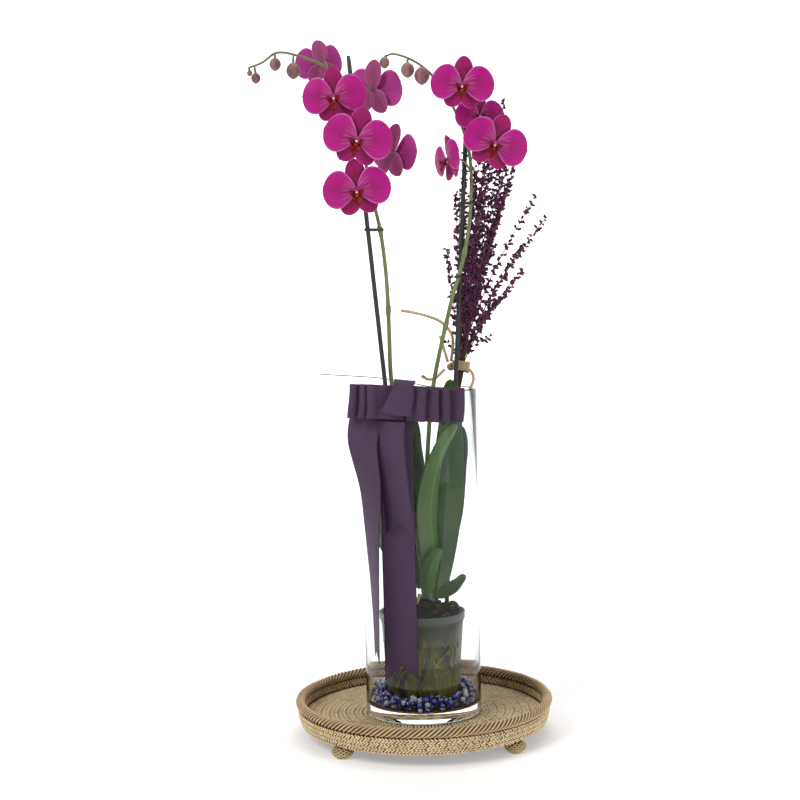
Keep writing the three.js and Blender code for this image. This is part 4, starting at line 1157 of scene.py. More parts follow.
class ORCHID_OT_stakes_and_clips(bpy.types.Operator):
    """Make the coated stakes and the clips that hold the stems to them"""

    bl_idname = "orchid.stakes_and_clips"
    bl_label = "Stakes and Clips"

    def execute(self, context):
        settings = context.scene.orchid_plant
        coat = Finish("stake_coat", Roughness=0.45)
        grain = coat.noise(60.0, 4, coat.coords("Object", (1, 1, 0.08)))
        coat.colour(coat.blend(tuple(settings.stake), rgb(36, 40, 38), grain, 0.35, 0.65))
        coat.roughness(coat.span(grain, 0.3, 0.7, 0.38, 0.6))
        coat.bump(coat.noise(160.0, 4, coat.coords("Object", (1, 1, 0.1))), 0.2, 0.5)
        for side, (foot, top) in STAKES.items():
            bm = start_mesh()
            foot, top = spot(*foot), spot(*top)
            route = Route([foot, foot.lerp(top, 0.5), top], 4)
            tube(bm, route, lambda t: (2.9 - 0.5 * max(0, (t - 0.997) / 0.003)) * MM, 20, 60, 0, lambda a,
                 s: 1 + 0.012 * math.sin(60 * s + 3 * a))
            piece(f"coated_stake_{side}", bm, [coat.material], "stake_coat", f"stake_{side}")
        grip = Finish("clip_plastic", Roughness=0.35, Specular_IOR_Level=0.5)
        grip.colour(grip.mix(grip.noise(200.0, 2), rgb(22, 26, 24), rgb(44, 50, 46)))
        grip.bump(grip.noise(300.0, 2), 0.1, 0.3)
        for name, (side, z) in CLIPS.items():
            self.clip(name, side, z, grip.material)
        return {"FINISHED"}

    @staticmethod
    def clip(name, side, z, finish):
        """A band that wraps the stake and the stem, with two short wings."""
        foot, top = (spot(*end) for end in STAKES[side])
        stake = foot.lerp(top, (z * MM - foot.z) / (top.z - foot.z))
        stem = spike_route(side).at_height(z * MM)
        across = Vector((stem.x - stake.x, stem.y - stake.y, 0))
        length, across = across.length, across.normalized()
        square = Vector((-across.y, across.x, 0))
        reach = 4.2 * MM
        bm = start_mesh()

        def place(turn, angle):
            away = math.cos(turn)
            middle = stake + across * (length if away > 0 else 0)
            middle = middle + across * away * reach + square * math.sin(turn) * reach
            out = across * away + square * math.sin(turn)
            level = Vector((0, 0, z * MM - middle.z))
            rise = Vector((0, 0, 1.8 * MM * math.sin(angle)))
            return middle + level + out * 0.75 * MM * math.cos(angle) + rise

        ring(bm, 40, 10, place)
        middle = (stake + stem) / 2
        for way in (-1, 1):
            start = middle + square * way * 4.0 * MM
            start.z = z * MM
            end = start + square * way * 1.0 * MM + Vector((0, 0, -2 * MM))
            tube(bm, Route([start, start.lerp(end, 0.5), end], 2), 0.8 * MM, 8, 4)
        piece(f"stem_{name}", bm, [finish], "clip_plastic", name)


# ---- Spikes: stems, nodes, pedicels and buds ------------------------------------------------------
SPIKES = {
    "left": [
        (3, -1, 196.2), (-6, 4, 260), (-19, 6, 340), (-30, 5.5, 420), (-35, 5, 465), (-36, 4, 516),
        (-37, 3.5, 560),
        (-39, 3, 600), (-45, 3, 652), (-51, 4, 680), (-59, 5, 722), (-69, 5, 770), (-81, 5, 812),
        (-95, 3, 842),
        (-111, -3, 859), (-143, -3, 873), (-172, -3, 878), (-191, -3, 866), (-208, -3, 860)],
    "right": [
        (12, -3.5, 195.6), (8, -4, 260), (9, -4, 330), (14, -4, 400), (19, -4, 447), (27, -3, 487),
        (37, -2, 528),
        (48, -1, 571), (54, -0.8, 588), (62, 0, 618), (67, 0, 642), (71, 1, 675), (72, 2, 738), (63, 1, 778),
        (49, -1, 809), (26, -4, 844), (11, -5, 858), (-9, -5, 869), (-27, -5, 873), (-36, -5, 868)],
}
BUDS = {  # middle and half height of each closed bud
    "left": [(-151, -8, 854, 10.5), (-174, -6, 863, 8.5), (-199, -6, 846, 7), (-207, -4, 853, 4)],
    "right": [(12, -10, 844, 11.5), (-6, -8, 852, 10), (-35, -7, 862, 7.5)],
}
FLOWERS = {  # middle, facing, roll in degrees, size and how far it is open
    "left_1": ((-98, -34, 817), (-0.12, -1, -0.1), 4, 0.93, 1.0),
    "left_2": ((-69, -52, 762), (-0.1, -1, -0.15), -12, 1.0, 1.0),
    "left_3": ((-72, -38, 700), (-0.05, -1, -0.1), 6, 0.98, 1.0),
    "left_4": ((-50, 26, 834), (0.5, 0.85, 0.1), 8, 0.95, 1.0),
    "left_5": ((-26, 22, 752), (0.72, 0.7, -0.05), 10, 0.95, 1.0),
    "left_6": ((-118, 24, 868), (-0.35, 0.9, 0.2), -10, 0.8, 0.6),
    "right_1": ((62, -40, 827), (-0.05, -1, -0.05), -5, 0.9, 1.0),
    "right_2": ((102, -34, 755), (0.08, -1, -0.12), -22, 0.95, 1.0),
    "right_3": ((84, -12, 792), (0.1, -1, 0.1), 0, 0.72, 1.0),
    "right_4": ((44, -12, 738), (-0.9, -0.42, -0.1), 8, 0.8, 1.0),
}


def spike_route(side):
    return route_mm(SPIKES[side])


def flower_place(name):
    """The matrix that takes a flower, modelled in millimetres and facing +Z, to its place."""
    at, facing, roll, scale, _ = FLOWERS[name]
    out = Vector(facing).normalized()
    across = Vector((0, 0, 1)).cross(out).normalized()
    turn = Matrix((across, out.cross(across), out)).transposed().to_4x4()
    return Matrix.Translation(spot(*at)) @ turn @ Matrix.Rotation(math.radians(roll), 4,
                                                                  "Z") @ Matrix.Scale(scale * MM, 4)


class ORCHID_OT_spikes(bpy.types.Operator):
    """Make the flower stems with their nodes, pedicels and closed buds"""

    bl_idname = "orchid.spikes"
    bl_label = "Flower Spikes"

    def execute(self, context):
        settings = context.scene.orchid_plant
        stem = self.stem_finish(tuple(settings.stem))
        bud = self.bud_finish()
        for side in SPIKES:
            route, bm = spike_route(side), start_mesh()
            nodes = [0.16, 0.31, 0.45, 0.58]

            def radius(t, nodes=nodes):
                swell = sum(math.exp(-(((t - node) / 0.006) ** 2)) for node in nodes)
                return (mix(3, 1.3, t * t) + 0.75 * swell) * MM

            tube(bm, route, radius, 14, 260)
            for i, node in enumerate(nodes):
                self.scale_leaf(bm, route, node, i)
            for name in FLOWERS:
                if name.startswith(side):
                    self.pedicel(bm, route, name)
            for x, y, z, tall in BUDS[side]:
                self.bud(bm, route, x, y, z, tall)
            piece(f"flower_spike_{side}", bm, [stem, bud], "stem_green", f"spike_{side}")
        return {"FINISHED"}

    @staticmethod
    def scale_leaf(bm, route, t, i):
        """A small pointed bract that hugs the stem above a node."""
        along = route.along(t)
        out = along.orthogonal().normalized()
        out.rotate(Matrix.Rotation(i * math.pi + 0.6, 3, along))
        side = along.cross(out)
        start = route.at(t)

        def place(u, v):
            bend = (u - 0.5) * 3.4 * (1 - v ** 1.6)
            wide = (3.6 - 0.4 * v) * MM
            return start + out * math.cos(bend) * wide + side * math.sin(bend) * wide + along * v * 13 * MM

        surface(bm, 10, 8, place, 0, (1, 0.5), weld=WELD)

    @staticmethod
    def pedicel(bm, route, name):
        place, facing = flower_place(name), Vector(FLOWERS[name][1]).normalized()
        back = place @ Vector((0, 0, -4))
        root = route.nearest(back + Vector((0, 0, -14 * MM)))
        approach = back - facing * 9 * MM
        middle = root.lerp(approach, 0.5) + Vector((0, 0, 5 * MM))
        tube(bm, Route([root, middle, approach, back]), lambda t: (1.35 + 0.5 * t ** 6) * MM, 10, 24)

    @staticmethod
    def bud(bm, route, x, y, z, tall):
        """A closed bud whose three outer sepals meet in seams."""
        root = route.nearest(spot(x, y, z + tall * 1.5))
        crown = spot(x, y, z + tall * 0.8)
        middle = root.lerp(crown, 0.5) + Vector((0, -1.5 * MM, MM))
        tube(bm, Route([root, middle, crown]), lambda t: (1.2 + 0.5 * t) * MM, 10, 14)
        made = bmesh.ops.create_uvsphere(bm, u_segments=36, v_segments=18, radius=1.0, calc_uvs=True)["verts"]
        for vert in made:
            angle = math.atan2(vert.co.y, vert.co.x)
            seam = 1 - 0.13 * math.exp(-((math.sin(1.5 * angle + 0.4) / 0.16) ** 2)) * (1 - vert.co.z * 0.3)
            rise = vert.co.z
            point = 1 - 0.22 * max(0, -rise) ** 2 - 0.12 * max(0, rise) ** 2
            wide = tall * 0.86 * seam * point
            vert.co = spot(x, y, z) + Vector((vert.co.x * wide, vert.co.y * wide * 0.95, rise * tall)) * MM
        finish_faces(bm, made, 1)

    @staticmethod
    def stem_finish(colour):
        stem = Finish("stem_skin", Roughness=0.42, Coat_Weight=0.15, Coat_Roughness=0.3)
        height = stem.split(stem.where.outputs["Object"])[2]
        streak = stem.noise(1.0, 4, stem.coords("UV", (12, 0.5, 1)))
        blotch = stem.noise(40.0, 3)
        tone = stem.blend(colour, rgb(140, 154, 104), streak, 0.35, 0.65, 0, 0.6)
        tone = stem.blend(tone, rgb(104, 96, 62), blotch, 0.52, 0.7, 0, 0.5)
        stem.colour(stem.blend(tone, rgb(98, 86, 62), height, 0.76, 0.86, 0, 0.45))
        stem.roughness(stem.span(blotch, 0.3, 0.7, 0.36, 0.5))
        stem.bump(streak, 0.2, 0.4)
        return stem.material

    @staticmethod
    def bud_finish():
        bud = Finish("bud_skin", Roughness=0.5, Sheen_Weight=0.3, Sheen_Roughness=0.5)
        streak = bud.noise(60.0, 4, bud.coords("Object", (1.4, 1.4, 0.5)))
        tone = bud.blend(rgb(104, 48, 66), rgb(162, 108, 112), streak, 0.35, 0.66)
        green = bud.noise(46.0, 2)
        bud.colour(bud.blend(tone, rgb(122, 116, 74), green, 0.5, 0.66, 0, 0.55))
        bud.roughness(bud.span(streak, 0.3, 0.7, 0.42, 0.6))
        bud.bump(streak, 0.35, 0.5)
        return bud.material


# ---- Flowers ------------------------------------------------------------------------------------
def petal_finish(name, face, deep, edge=rgb(222, 150, 214), streak=0.42, veins=0.5):
    """A petal: veins that spread from its base, a deeper middle, pale base streaks and a pale edge."""
    petal = Finish(name, Roughness=0.52, Sheen_Weight=0.06, Sheen_Roughness=0.4, Specular_IOR_Level=0.3)
    across, along = petal.split(petal.where.outputs["UV"])[:2]
    vein = petal.noise(1.0, 4, petal.coords("UV", (44, 1.6, 1)), 0.6, 0.4)
    mottle = petal.noise(120.0, 3)
    off = petal.sum("MULTIPLY", petal.sum("ABSOLUTE", petal.sum("SUBTRACT", across, 0.5)), 2.0)
    middle = petal.sum("MULTIPLY", petal.span(off, 0.0, 0.75, 1, 0), petal.span(along, 0.1, 0.85, 1, 0.15))
    tone = petal.blend(face, deep, middle, 0.1, 0.9, 0, 0.85)
    tone = petal.blend(tone, deep, vein, 0.5, 0.66, 0, veins)
    tone = petal.blend(tone, rgb(196, 30, 150), mottle, 0.4, 0.7, 0, 0.12)
    rays = petal.sum("MULTIPLY", petal.span(vein, 0.42, 0.5, 1, 0), petal.span(along, 0.06, 0.3, streak, 0))
    tone = petal.mix(rays, tone, rgb(236, 190, 226))
    rim = petal.sum("MAXIMUM", petal.span(off, 0.9, 1.0), petal.span(along, 0.965, 1.0))
    petal.colour(petal.mix(petal.sum("MULTIPLY", rim, 0.6), tone, edge))
    petal.roughness(petal.span(mottle, 0.3, 0.7, 0.42, 0.6))
    petal.bump(vein, 0.45, 0.45)
    return petal.material


def petal_half(t):
    """Half width of a broad petal as a share of its greatest half width."""
    if t > 0.56:
        return math.sqrt(max(0.0, 1 - ((t - 0.56) / 0.44) ** 2.15))
    return 0.1 + 0.9 * math.sin(t / 0.56 * math.pi / 2) ** 0.92


def sepal_half(t):
    """Half width of an oval sepal as a share of its greatest half width."""
    if t > 0.5:
        return math.sqrt(max(0.0, 1 - ((t - 0.5) / 0.5) ** 2.2))
    return 0.3 + 0.7 * math.sin(t / 0.5 * math.pi / 2)


def tepal(bm, place, angle, length, width, half, lift, bow, material, skew=0.0, wave=0.0, seed=0.0,
          closed=0.0):
    """One petal or sepal: it leaves the middle at an angle, and bows and ruffles a little."""
    out, side = around(math.radians(angle))

    def point(u, v):
        t = math.sin(v * math.pi / 2) if v < 1 else 1.0
        x = 1 - 2 * u
        wide = width / 2 * half(t) * x
        reach = length * (0.02 + 0.98 * t) - 1.2 * x * x * width / 20 * t * (1 - t)
        wide += skew * t * t
        depth = lift + bow * math.sin(math.pi * min(1, 0.15 + 0.8 * t)) - 2.2 * (x * half(t)) ** 2
        depth += wave * x * x * math.sin(7 * t + 2.5 * x + seed) - 0.55 * math.exp(-(x / 0.09) ** 2) * (1 - t)
        depth += closed * t * t * length * 0.7
        return place @ (out * reach * (1 - 0.25 * closed * t) + side * wide + Vector((0, 0, depth)))

    surface(bm, 18, 26, point, material, weld=20 * WELD)


class ORCHID_OT_flowers(bpy.types.Operator):
    """Make the open flowers: two broad petals, three sepals and the column"""

    bl_idname = "orchid.flowers"
    bl_label = "Flowers"

    def execute(self, context):
        settings = context.scene.orchid_plant
        face, deep = tuple(settings.petal), tuple(settings.petal_deep)
        petal = petal_finish("petal_face", face, deep)
        sepal = petal_finish("sepal_face", rgb(156, 8, 96), rgb(120, 4, 58), streak=0.2, veins=0.6)
        petal_back = petal_finish("petal_back", rgb(186, 64, 150), rgb(160, 40, 120), streak=0.2, veins=0.7)
        sepal_back = petal_finish("sepal_back", rgb(170, 76, 128), rgb(134, 58, 92), rgb(190, 128, 160),
                                  0.2, 0.8)
        column = self.column_finish()
        for number, (name, (_, _, _, _, opened)) in enumerate(FLOWERS.items()):
            place, bm = flower_place(name), start_mesh()
            seed, closed = number * 1.7, 1 - opened
            for i, angle in enumerate((9, 171)):
                tepal(bm, place, angle, 43.5, 49, petal_half, 2.0, 3.2, 0, wave=0.8, seed=seed + i,
                      closed=closed,
                      skew=2.5 if angle > 90 else -2.5)
            for i, (angle, long) in enumerate(((90, 39), (-56, 35), (-124, 35))):
                tepal(bm, place, angle, long, 27, sepal_half, -1.0, -1.0, 1, wave=0.6, seed=seed + 2 * i,
                      closed=closed * 0.6)
            made = piece(f"blossom_{name}", bm, [petal, sepal, petal_back, sepal_back], "petal",
                         f"flower_{name}")
            thicken(made, 0.7, back=2, offset=-1.0, even=False)
            bm = start_mesh()
            self.column(bm, place)
            piece(f"column_{name}", bm, [column, self.white], "petal", f"flower_{name}")
        return {"FINISHED"}

    def column_finish(self):
        cap = Finish("anther_cap", Roughness=0.4)
        cap.colour(cap.blend(rgb(250, 240, 246), rgb(236, 204, 226), cap.noise(300.0, 2), 0.4, 0.6))
        cap.bump(cap.noise(700.0, 2), 0.1, 0.3)
        self.white = cap.material
        body = Finish("column_skin", Roughness=0.45, Coat_Weight=0.2, Coat_Roughness=0.3)
        tone = body.noise(200.0, 3)
        body.colour(body.blend(rgb(196, 60, 150), rgb(150, 22, 104), tone, 0.35, 0.65))
        body.bump(tone, 0.15, 0.4)
        return body.material

    @staticmethod
    def column(bm, place):
        """The column stands out of the middle, with a pale cap at its tip."""
        route = Route([place @ Vector(p) for p in ((0, 0.5, -3.5), (0, 0.4, 2), (0, -0.6, 5.5),
                                                   (0, -2.6, 7.6))])
        tube(bm, route, lambda t: route.length * (0.2 + 0.05 * math.sin(3 * t)), 16, 16)
        tip = place @ Vector((0, -3.2, 8.0))
        scale = place.to_scale().x
        turn = place.to_3x3().normalized().to_4x4()
        blob(bm, tip, (1.9 * scale, 1.5 * scale, 1.2 * scale), 1, turn, 0.1, 3, 14, 10)


class ORCHID_OT_lips(bpy.types.Operator):
    """Make the dark lips with their side lobes, callus and tendrils"""

    bl_idname = "orchid.lips"
    bl_label = "Lips"

    def execute(self, context):
        settings = context.scene.orchid_plant
        lip = Finish("lip_skin", Roughness=0.55, Coat_Weight=0.05, Coat_Roughness=0.25,
                     Specular_IOR_Level=0.2)
        across, along = lip.split(lip.where.outputs["UV"])[:2]
        streak = lip.noise(1.0, 4, lip.coords("UV", (22, 3, 1)))
        tone = lip.blend(tuple(settings.lip), rgb(74, 4, 14), streak, 0.35, 0.65)
        warm = lip.sum("MULTIPLY", lip.span(lip.noise(300.0, 2), 0.54, 0.64),
                       lip.span(along, 0.05, 0.5, 0.35, 0.0))
        tone = lip.mix(warm, tone, rgb(206, 92, 22))
        lip.colour(lip.blend(tone, rgb(150, 8, 44), along, 0.6, 1.0, 0, 0.6))
        lip.roughness(lip.span(streak, 0.3, 0.7, 0.3, 0.48))
        lip.bump(streak, 0.3, 0.5)
        callus = Finish("lip_callus", Roughness=0.4)
        spots = callus.span(callus.noise(420.0, 2), 0.56, 0.64)
        callus.colour(callus.mix(spots, rgb(150, 30, 16), rgb(196, 110, 30)))
        callus.bump(callus.noise(500.0, 2), 0.2, 0.4)
        for name in FLOWERS:
            place, bm = flower_place(name), start_mesh()
            self.lobes(bm, place)
            made = piece(f"labellum_{name}", bm, [lip.material, callus.material], "lip_red", f"lip_{name}")
            thicken(made, 0.6, even=False)
        return {"FINISHED"}

    @staticmethod
    def lobes(bm, place):
        root = Vector((0, -5.5, 6))

        def middle(u, v):
            """An arrow-shaped lobe that drops forward and turns up at its edges."""
            x = 2 * u - 1
            wide = 2.2 + 5.6 * math.exp(-(((v - 0.5) / 0.22) ** 2)) if v < 0.97 else 0.6
            wide *= 1 if v < 0.5 else mix(1, 0.25, (v - 0.5) / 0.5)
            drop = -15.0 * v ** 0.9
            out = 8.5 * math.sin(2.1 * v) + 1.6 * x * x
            return place @ (root + Vector((x * wide, drop, out)))

        surface(bm, 12, 18, middle, weld=10 * WELD)
        for way in (-1, 1):

            def wing(u, v, way=way):
                """A side lobe that stands up beside the column and curls in at its tip."""
                half = 4.6 * math.sin(math.pi * (0.12 + 0.8 * v)) ** 0.8
                reach = Vector((way * (1.5 + 7.2 * v), 1.5 + 4.5 * v * v - 1.5, 7.5 * math.sin(1.7 * v)))
                curl = Vector((way * 0.8 * math.sin(math.pi * u), (u - 0.5) * 2 * half,
                               -1.6 * math.cos(math.pi * (u - 0.5)) * v))
                return place @ (root + reach + curl)

            surface(bm, 10, 12, wing, weld=10 * WELD)
            hook = [root + Vector(p) for p in ((0, -14.2, 8.0), (way * 1.6, -15.2, 9.0),
                                               (way * 3.2, -14.6, 10.2), (way * 3.6, -13.2, 10.6))]
            tube(bm, Route([place @ p for p in hook]), lambda t: mix(0.5, 0.2, t) * place.to_scale().x, 6, 8)
            scale = place.to_scale().x
            turn = place.to_3x3().normalized().to_4x4()
            blob(bm, place @ (root + Vector((way * 1.1, -2.2, 2.6))),
                 (1.1 * scale, 1.7 * scale, 1.3 * scale), 1, turn, 0.2, way, 10, 8)


# ---- Dried bundle -------------------------------------------------------------------------------
SPRIG_TIPS = [  # offsets from the tie
    (-20, -7, 34), (-16, -5, 152), (-2, 11, 226), (10, 17, 278), (26, 15, 251), (42, 17, 301), (64, 11, 348),
    (60, 25, 216), (78, 15, 268), (114, 11, 191), (86, 23, 158), (72, 13, 106), (43, 7, 40),
]
BUNDLE_TAIL = 74
BUNDLE_RADIUS = 8


class ORCHID_OT_dried_bundle(bpy.types.Operator):
    """Make the dried bundle: thin stems that fan out, each with small tufted heads"""

    bl_idname = "orchid.dried_bundle"
    bl_label = "Dried Bundle"

    def execute(self, context):
        settings = context.scene.orchid_trim
        rng = random.Random(23)
        bm, cup = start_mesh(), self.cup()
        foot, tie = TIE + Vector((-14, -1, -BUNDLE_TAIL)), TIE
        tips = [TIE + Vector(tip) for tip in SPRIG_TIPS]
        while len(tips) < settings.sprigs:
            a, b = rng.sample(tips[:13], 2)
            tips.append(a.lerp(b,
                               rng.uniform(0.2, 0.5))
                               + Vector((rng.uniform(-8, 8), rng.uniform(-6, 4), rng.uniform(-14, 10))))
        for i, tip in enumerate(tips):
            ring_at = around(2.4 * i)[0] * BUNDLE_RADIUS * 0.8 * math.sqrt((i + 0.5) / len(tips))
            low = foot + ring_at * 0.85 + Vector((0, 0, rng.uniform(0, 16)))
            neck = tie + ring_at * 0.9
            middle = neck.lerp(tip, 0.5) + Vector((-(tip.x - neck.x) * 0.06, 4, 6))
            route = route_mm([low, low.lerp(neck, 0.5), neck, neck.lerp(middle, 0.3) + Vector((0, 0.5, 3)),
                              middle, tip])
            tube(bm, route, lambda t: mix(1.0, 0.42, t) * MM, 5, 26, 2)
            bare = (neck - low).length * MM / route.length
            start = bare + (1 - bare) * rng.uniform(0.2, 0.34)
            self.heads(bm, cup, route, start, rng)
        heads = self.finish("dried_head", tuple(settings.dried), rgb(58, 12, 44), rgb(150, 70, 124))
        dusty = self.finish("dusty_head", rgb(122, 46, 100), rgb(84, 26, 62), rgb(176, 120, 150))
        stalk = self.finish("dried_stalk", rgb(96, 74, 60), rgb(70, 46, 44), rgb(136, 116, 84))
        piece("dried_sprigs", bm, [heads, dusty, stalk], "dried_flower", "dried_bundle")
        return {"FINISHED"}

    @staticmethod
    def cup():
        """A small cup with three points, one unit tall."""
        bm = start_mesh()
        made = bmesh.ops.create_cone(bm, segments=6, radius1=0.12, radius2=0.46, depth=0.6,
                                     cap_ends=False)["verts"]
        rim = {vert for vert in made if vert.co.z > 0}
        edges = [edge for edge in bm.edges if all(vert in rim for vert in edge.verts)]
        ends = [item for item in bmesh.ops.extrude_edge_only(bm,
                                                             edges=edges)["geom"]
                                                             if isinstance(item, bmesh.types.BMVert)]
        for vert in ends:
            point = round(math.atan2(vert.co.y, vert.co.x) / (TAU / 6)) % 2
            vert.co = Vector((vert.co.x * (1.25 if point else 0.5), vert.co.y * (1.25 if point else 0.5),
                              0.72 if point else 0.4))
        for vert in bm.verts:
            vert.co.z += 0.3
        finish_faces(bm, bm.verts[:])
        return keep_shape(bm, "cup_shape")

    @staticmethod
    def heads(bm, cup, route, start, rng):
        """Small pointed cups in twos and threes up a stem, closer together towards its tip."""
        t = start
        while t < 1.0:
            along = route.along(t)
            share = (t - start) / max(1 - start, 0.01)
            first = rng.uniform(0, TAU)
            for k in range(rng.choice((2, 3, 3))):
                way = along.orthogonal().normalized()
                way.rotate(Matrix.Rotation(first + k * TAU / 3 + rng.uniform(-0.5, 0.5), 3, along))
                long = rng.uniform(5.4, 8.2) * mix(1.0, 0.74, share) * MM
                lean = (way + along * rng.uniform(0.35, 1.5)).normalized()
                spin = Matrix.Rotation(rng.uniform(0, TAU), 4, "Z")
                turn = lean.to_track_quat("Z", "Y").to_matrix().to_4x4() @ spin
                foot = route.at(t + rng.uniform(-3, 3) * MM / route.length) + way * 0.5 * MM
                scale = Matrix.Diagonal((long * rng.uniform(0.75, 1.1), long * rng.uniform(0.75, 1.1), long,
                                         1))
                stamp(bm, cup, Matrix.Translation(foot) @ turn @ scale, 1 if rng.random() < 0.3 else 0)
            t += rng.uniform(7.5, 13.0) * mix(1.0, 0.7, share) * MM / route.length

    @staticmethod
    def finish(name, colour, dark, pale):
        dry = Finish(name, Roughness=0.9, Sheen_Weight=0.2)
        grain = dry.noise(340.0, 4, None, 0.6)
        tone = dry.blend(dark, colour, grain, 0.36, 0.62)
        dry.colour(dry.blend(tone, pale, dry.noise(90.0, 3), 0.55, 0.72, 0, 0.6))
        dry.bump(grain, 0.4, 0.7)
        return dry.material


class ORCHID_OT_twine_wrap(bpy.types.Operator):
    """Make the turns of twine round the bundle and their knot"""

    bl_idname = "orchid.twine_wrap"
    bl_label = "Twine Wrap"

    def execute(self, context):
        settings = context.scene.orchid_trim
        rng = random.Random(3)
        jute, bm = jute_finish(tuple(settings.twine)), start_mesh()
        lean = (TIE + Vector((2, 1, 16)) - (TIE + Vector((-7, -0.5, -BUNDLE_TAIL / 2)))).normalized()
        turn = Vector((0, 0, 1)).rotation_difference(lean).to_matrix()
        points = []
        for i in range(49):
            angle = TAU * i / 12
            offset = around(angle)[0] * 10.9 + Vector((0, 0, -6.2 + 12.4 * i / 48))
            points.append(spot(*(TIE + turn @ offset)))
        lay_twine(bm, Route(points, 4), 1.75, rng, 0.5)
        knot = TIE + Vector((-13, -12, 0))
        for tilt, wide in ((0.3, 4.0), (1.5, 3.8), (2.5, 3.6)):
            spin = Matrix.Rotation(tilt, 3, "Y") @ Matrix.Rotation(0.5 * tilt, 3, "X")
            loop = [spot(*(knot + spin @ Vector((wide * math.cos(a), wide * math.sin(a),
                                                 1.2 * math.sin(2 * a)))))
                                                 for a in (TAU * k / 10 for k in range(11))]
            lay_twine(bm, Route(loop, 6), 1.7, rng, 0.6)
        piece("jute_wrap", bm, [jute], "jute", "twine_wrap")
        return {"FINISHED"}


# ---- Ribbon -------------------------------------------------------------------------------------
RIBBON = 42.0
BOW_X, BOW_Z = -16, GLASS_TOP - 13
BOW_BACK = -(GLASS_RADIUS + 4.5)
BOW_TILT = math.radians(3.7)
TAILS = {  # x, way out from the glass and z down the middle; turns in degrees; depth of the notch
    "tail_long": ([(-27, 2.2, 438), (-28, 2.2, 380), (-28, 2.4, 260), (-27, 3, 160), (-27, 4, 86)],
                  (0, 0, 0), 19),
    "tail_front": ([(-35, 16.5, 412), (-36, 16.5, 385), (-32, 16.5, 340), (-27, 16, 300), (-25, 16, 273)],
                   (-32, -34, -34), 15),
    "tail_left": ([(-62, 2, 422), (-68, 3.6, 404), (-70, 4, 385), (-62, 4, 330), (-60, 5, 260),
                   (-58, 5, 190), (-57, 5, 113)], (-4, -36, -54, -66, -73, -77, -79), 12),
}


def ribbon_finish(settings):
    """Grosgrain: fine ribs across the ribbon, with painted shade in their troughs and painted light on their
    crests, a plain selvedge and a soft sheen. The UV's y is its length in ribs."""
    cloth = Finish("grosgrain", Roughness=0.7, Sheen_Weight=0.12, Sheen_Roughness=0.4, Specular_IOR_Level=0.3)
    across, along = cloth.split(cloth.where.outputs["UV"])[:2]
    rib = cloth.sum("SINE", cloth.sum("MULTIPLY", along, TAU))
    thread = cloth.noise(1.0, 2, cloth.coords("UV", (46, 0.5, 1)))
    soft = cloth.noise(24.0, 3)
    # painted shade and light across the ribs: darker in each rib's trough, lighter on its crest
    tone = cloth.blend(tuple(0.62 * c for c in settings.ribbon), tuple(1.1 * c for c in settings.ribbon),
                       rib, -1, 1)
    tone = cloth.blend(tone, tuple(1.35 * c for c in settings.ribbon), soft, 0.4, 0.7, 0, 0.25)
    edge = cloth.span(cloth.sum("ABSOLUTE", cloth.sum("SUBTRACT", across, 0.5)), 0.47, 0.49)
    cloth.colour(cloth.mix(cloth.sum("MULTIPLY", edge, 0.5), tone, tuple(0.6 * c for c in settings.ribbon)))
    cloth.roughness(cloth.span(thread, 0.3, 0.7, 0.55, 0.72))
    cloth.bump(cloth.sum("ADD", rib, cloth.sum("MULTIPLY", thread, 0.6)), 0.22, 0.75)
    return cloth.material


def ribs_along(settings, length):
    return length / settings.rib


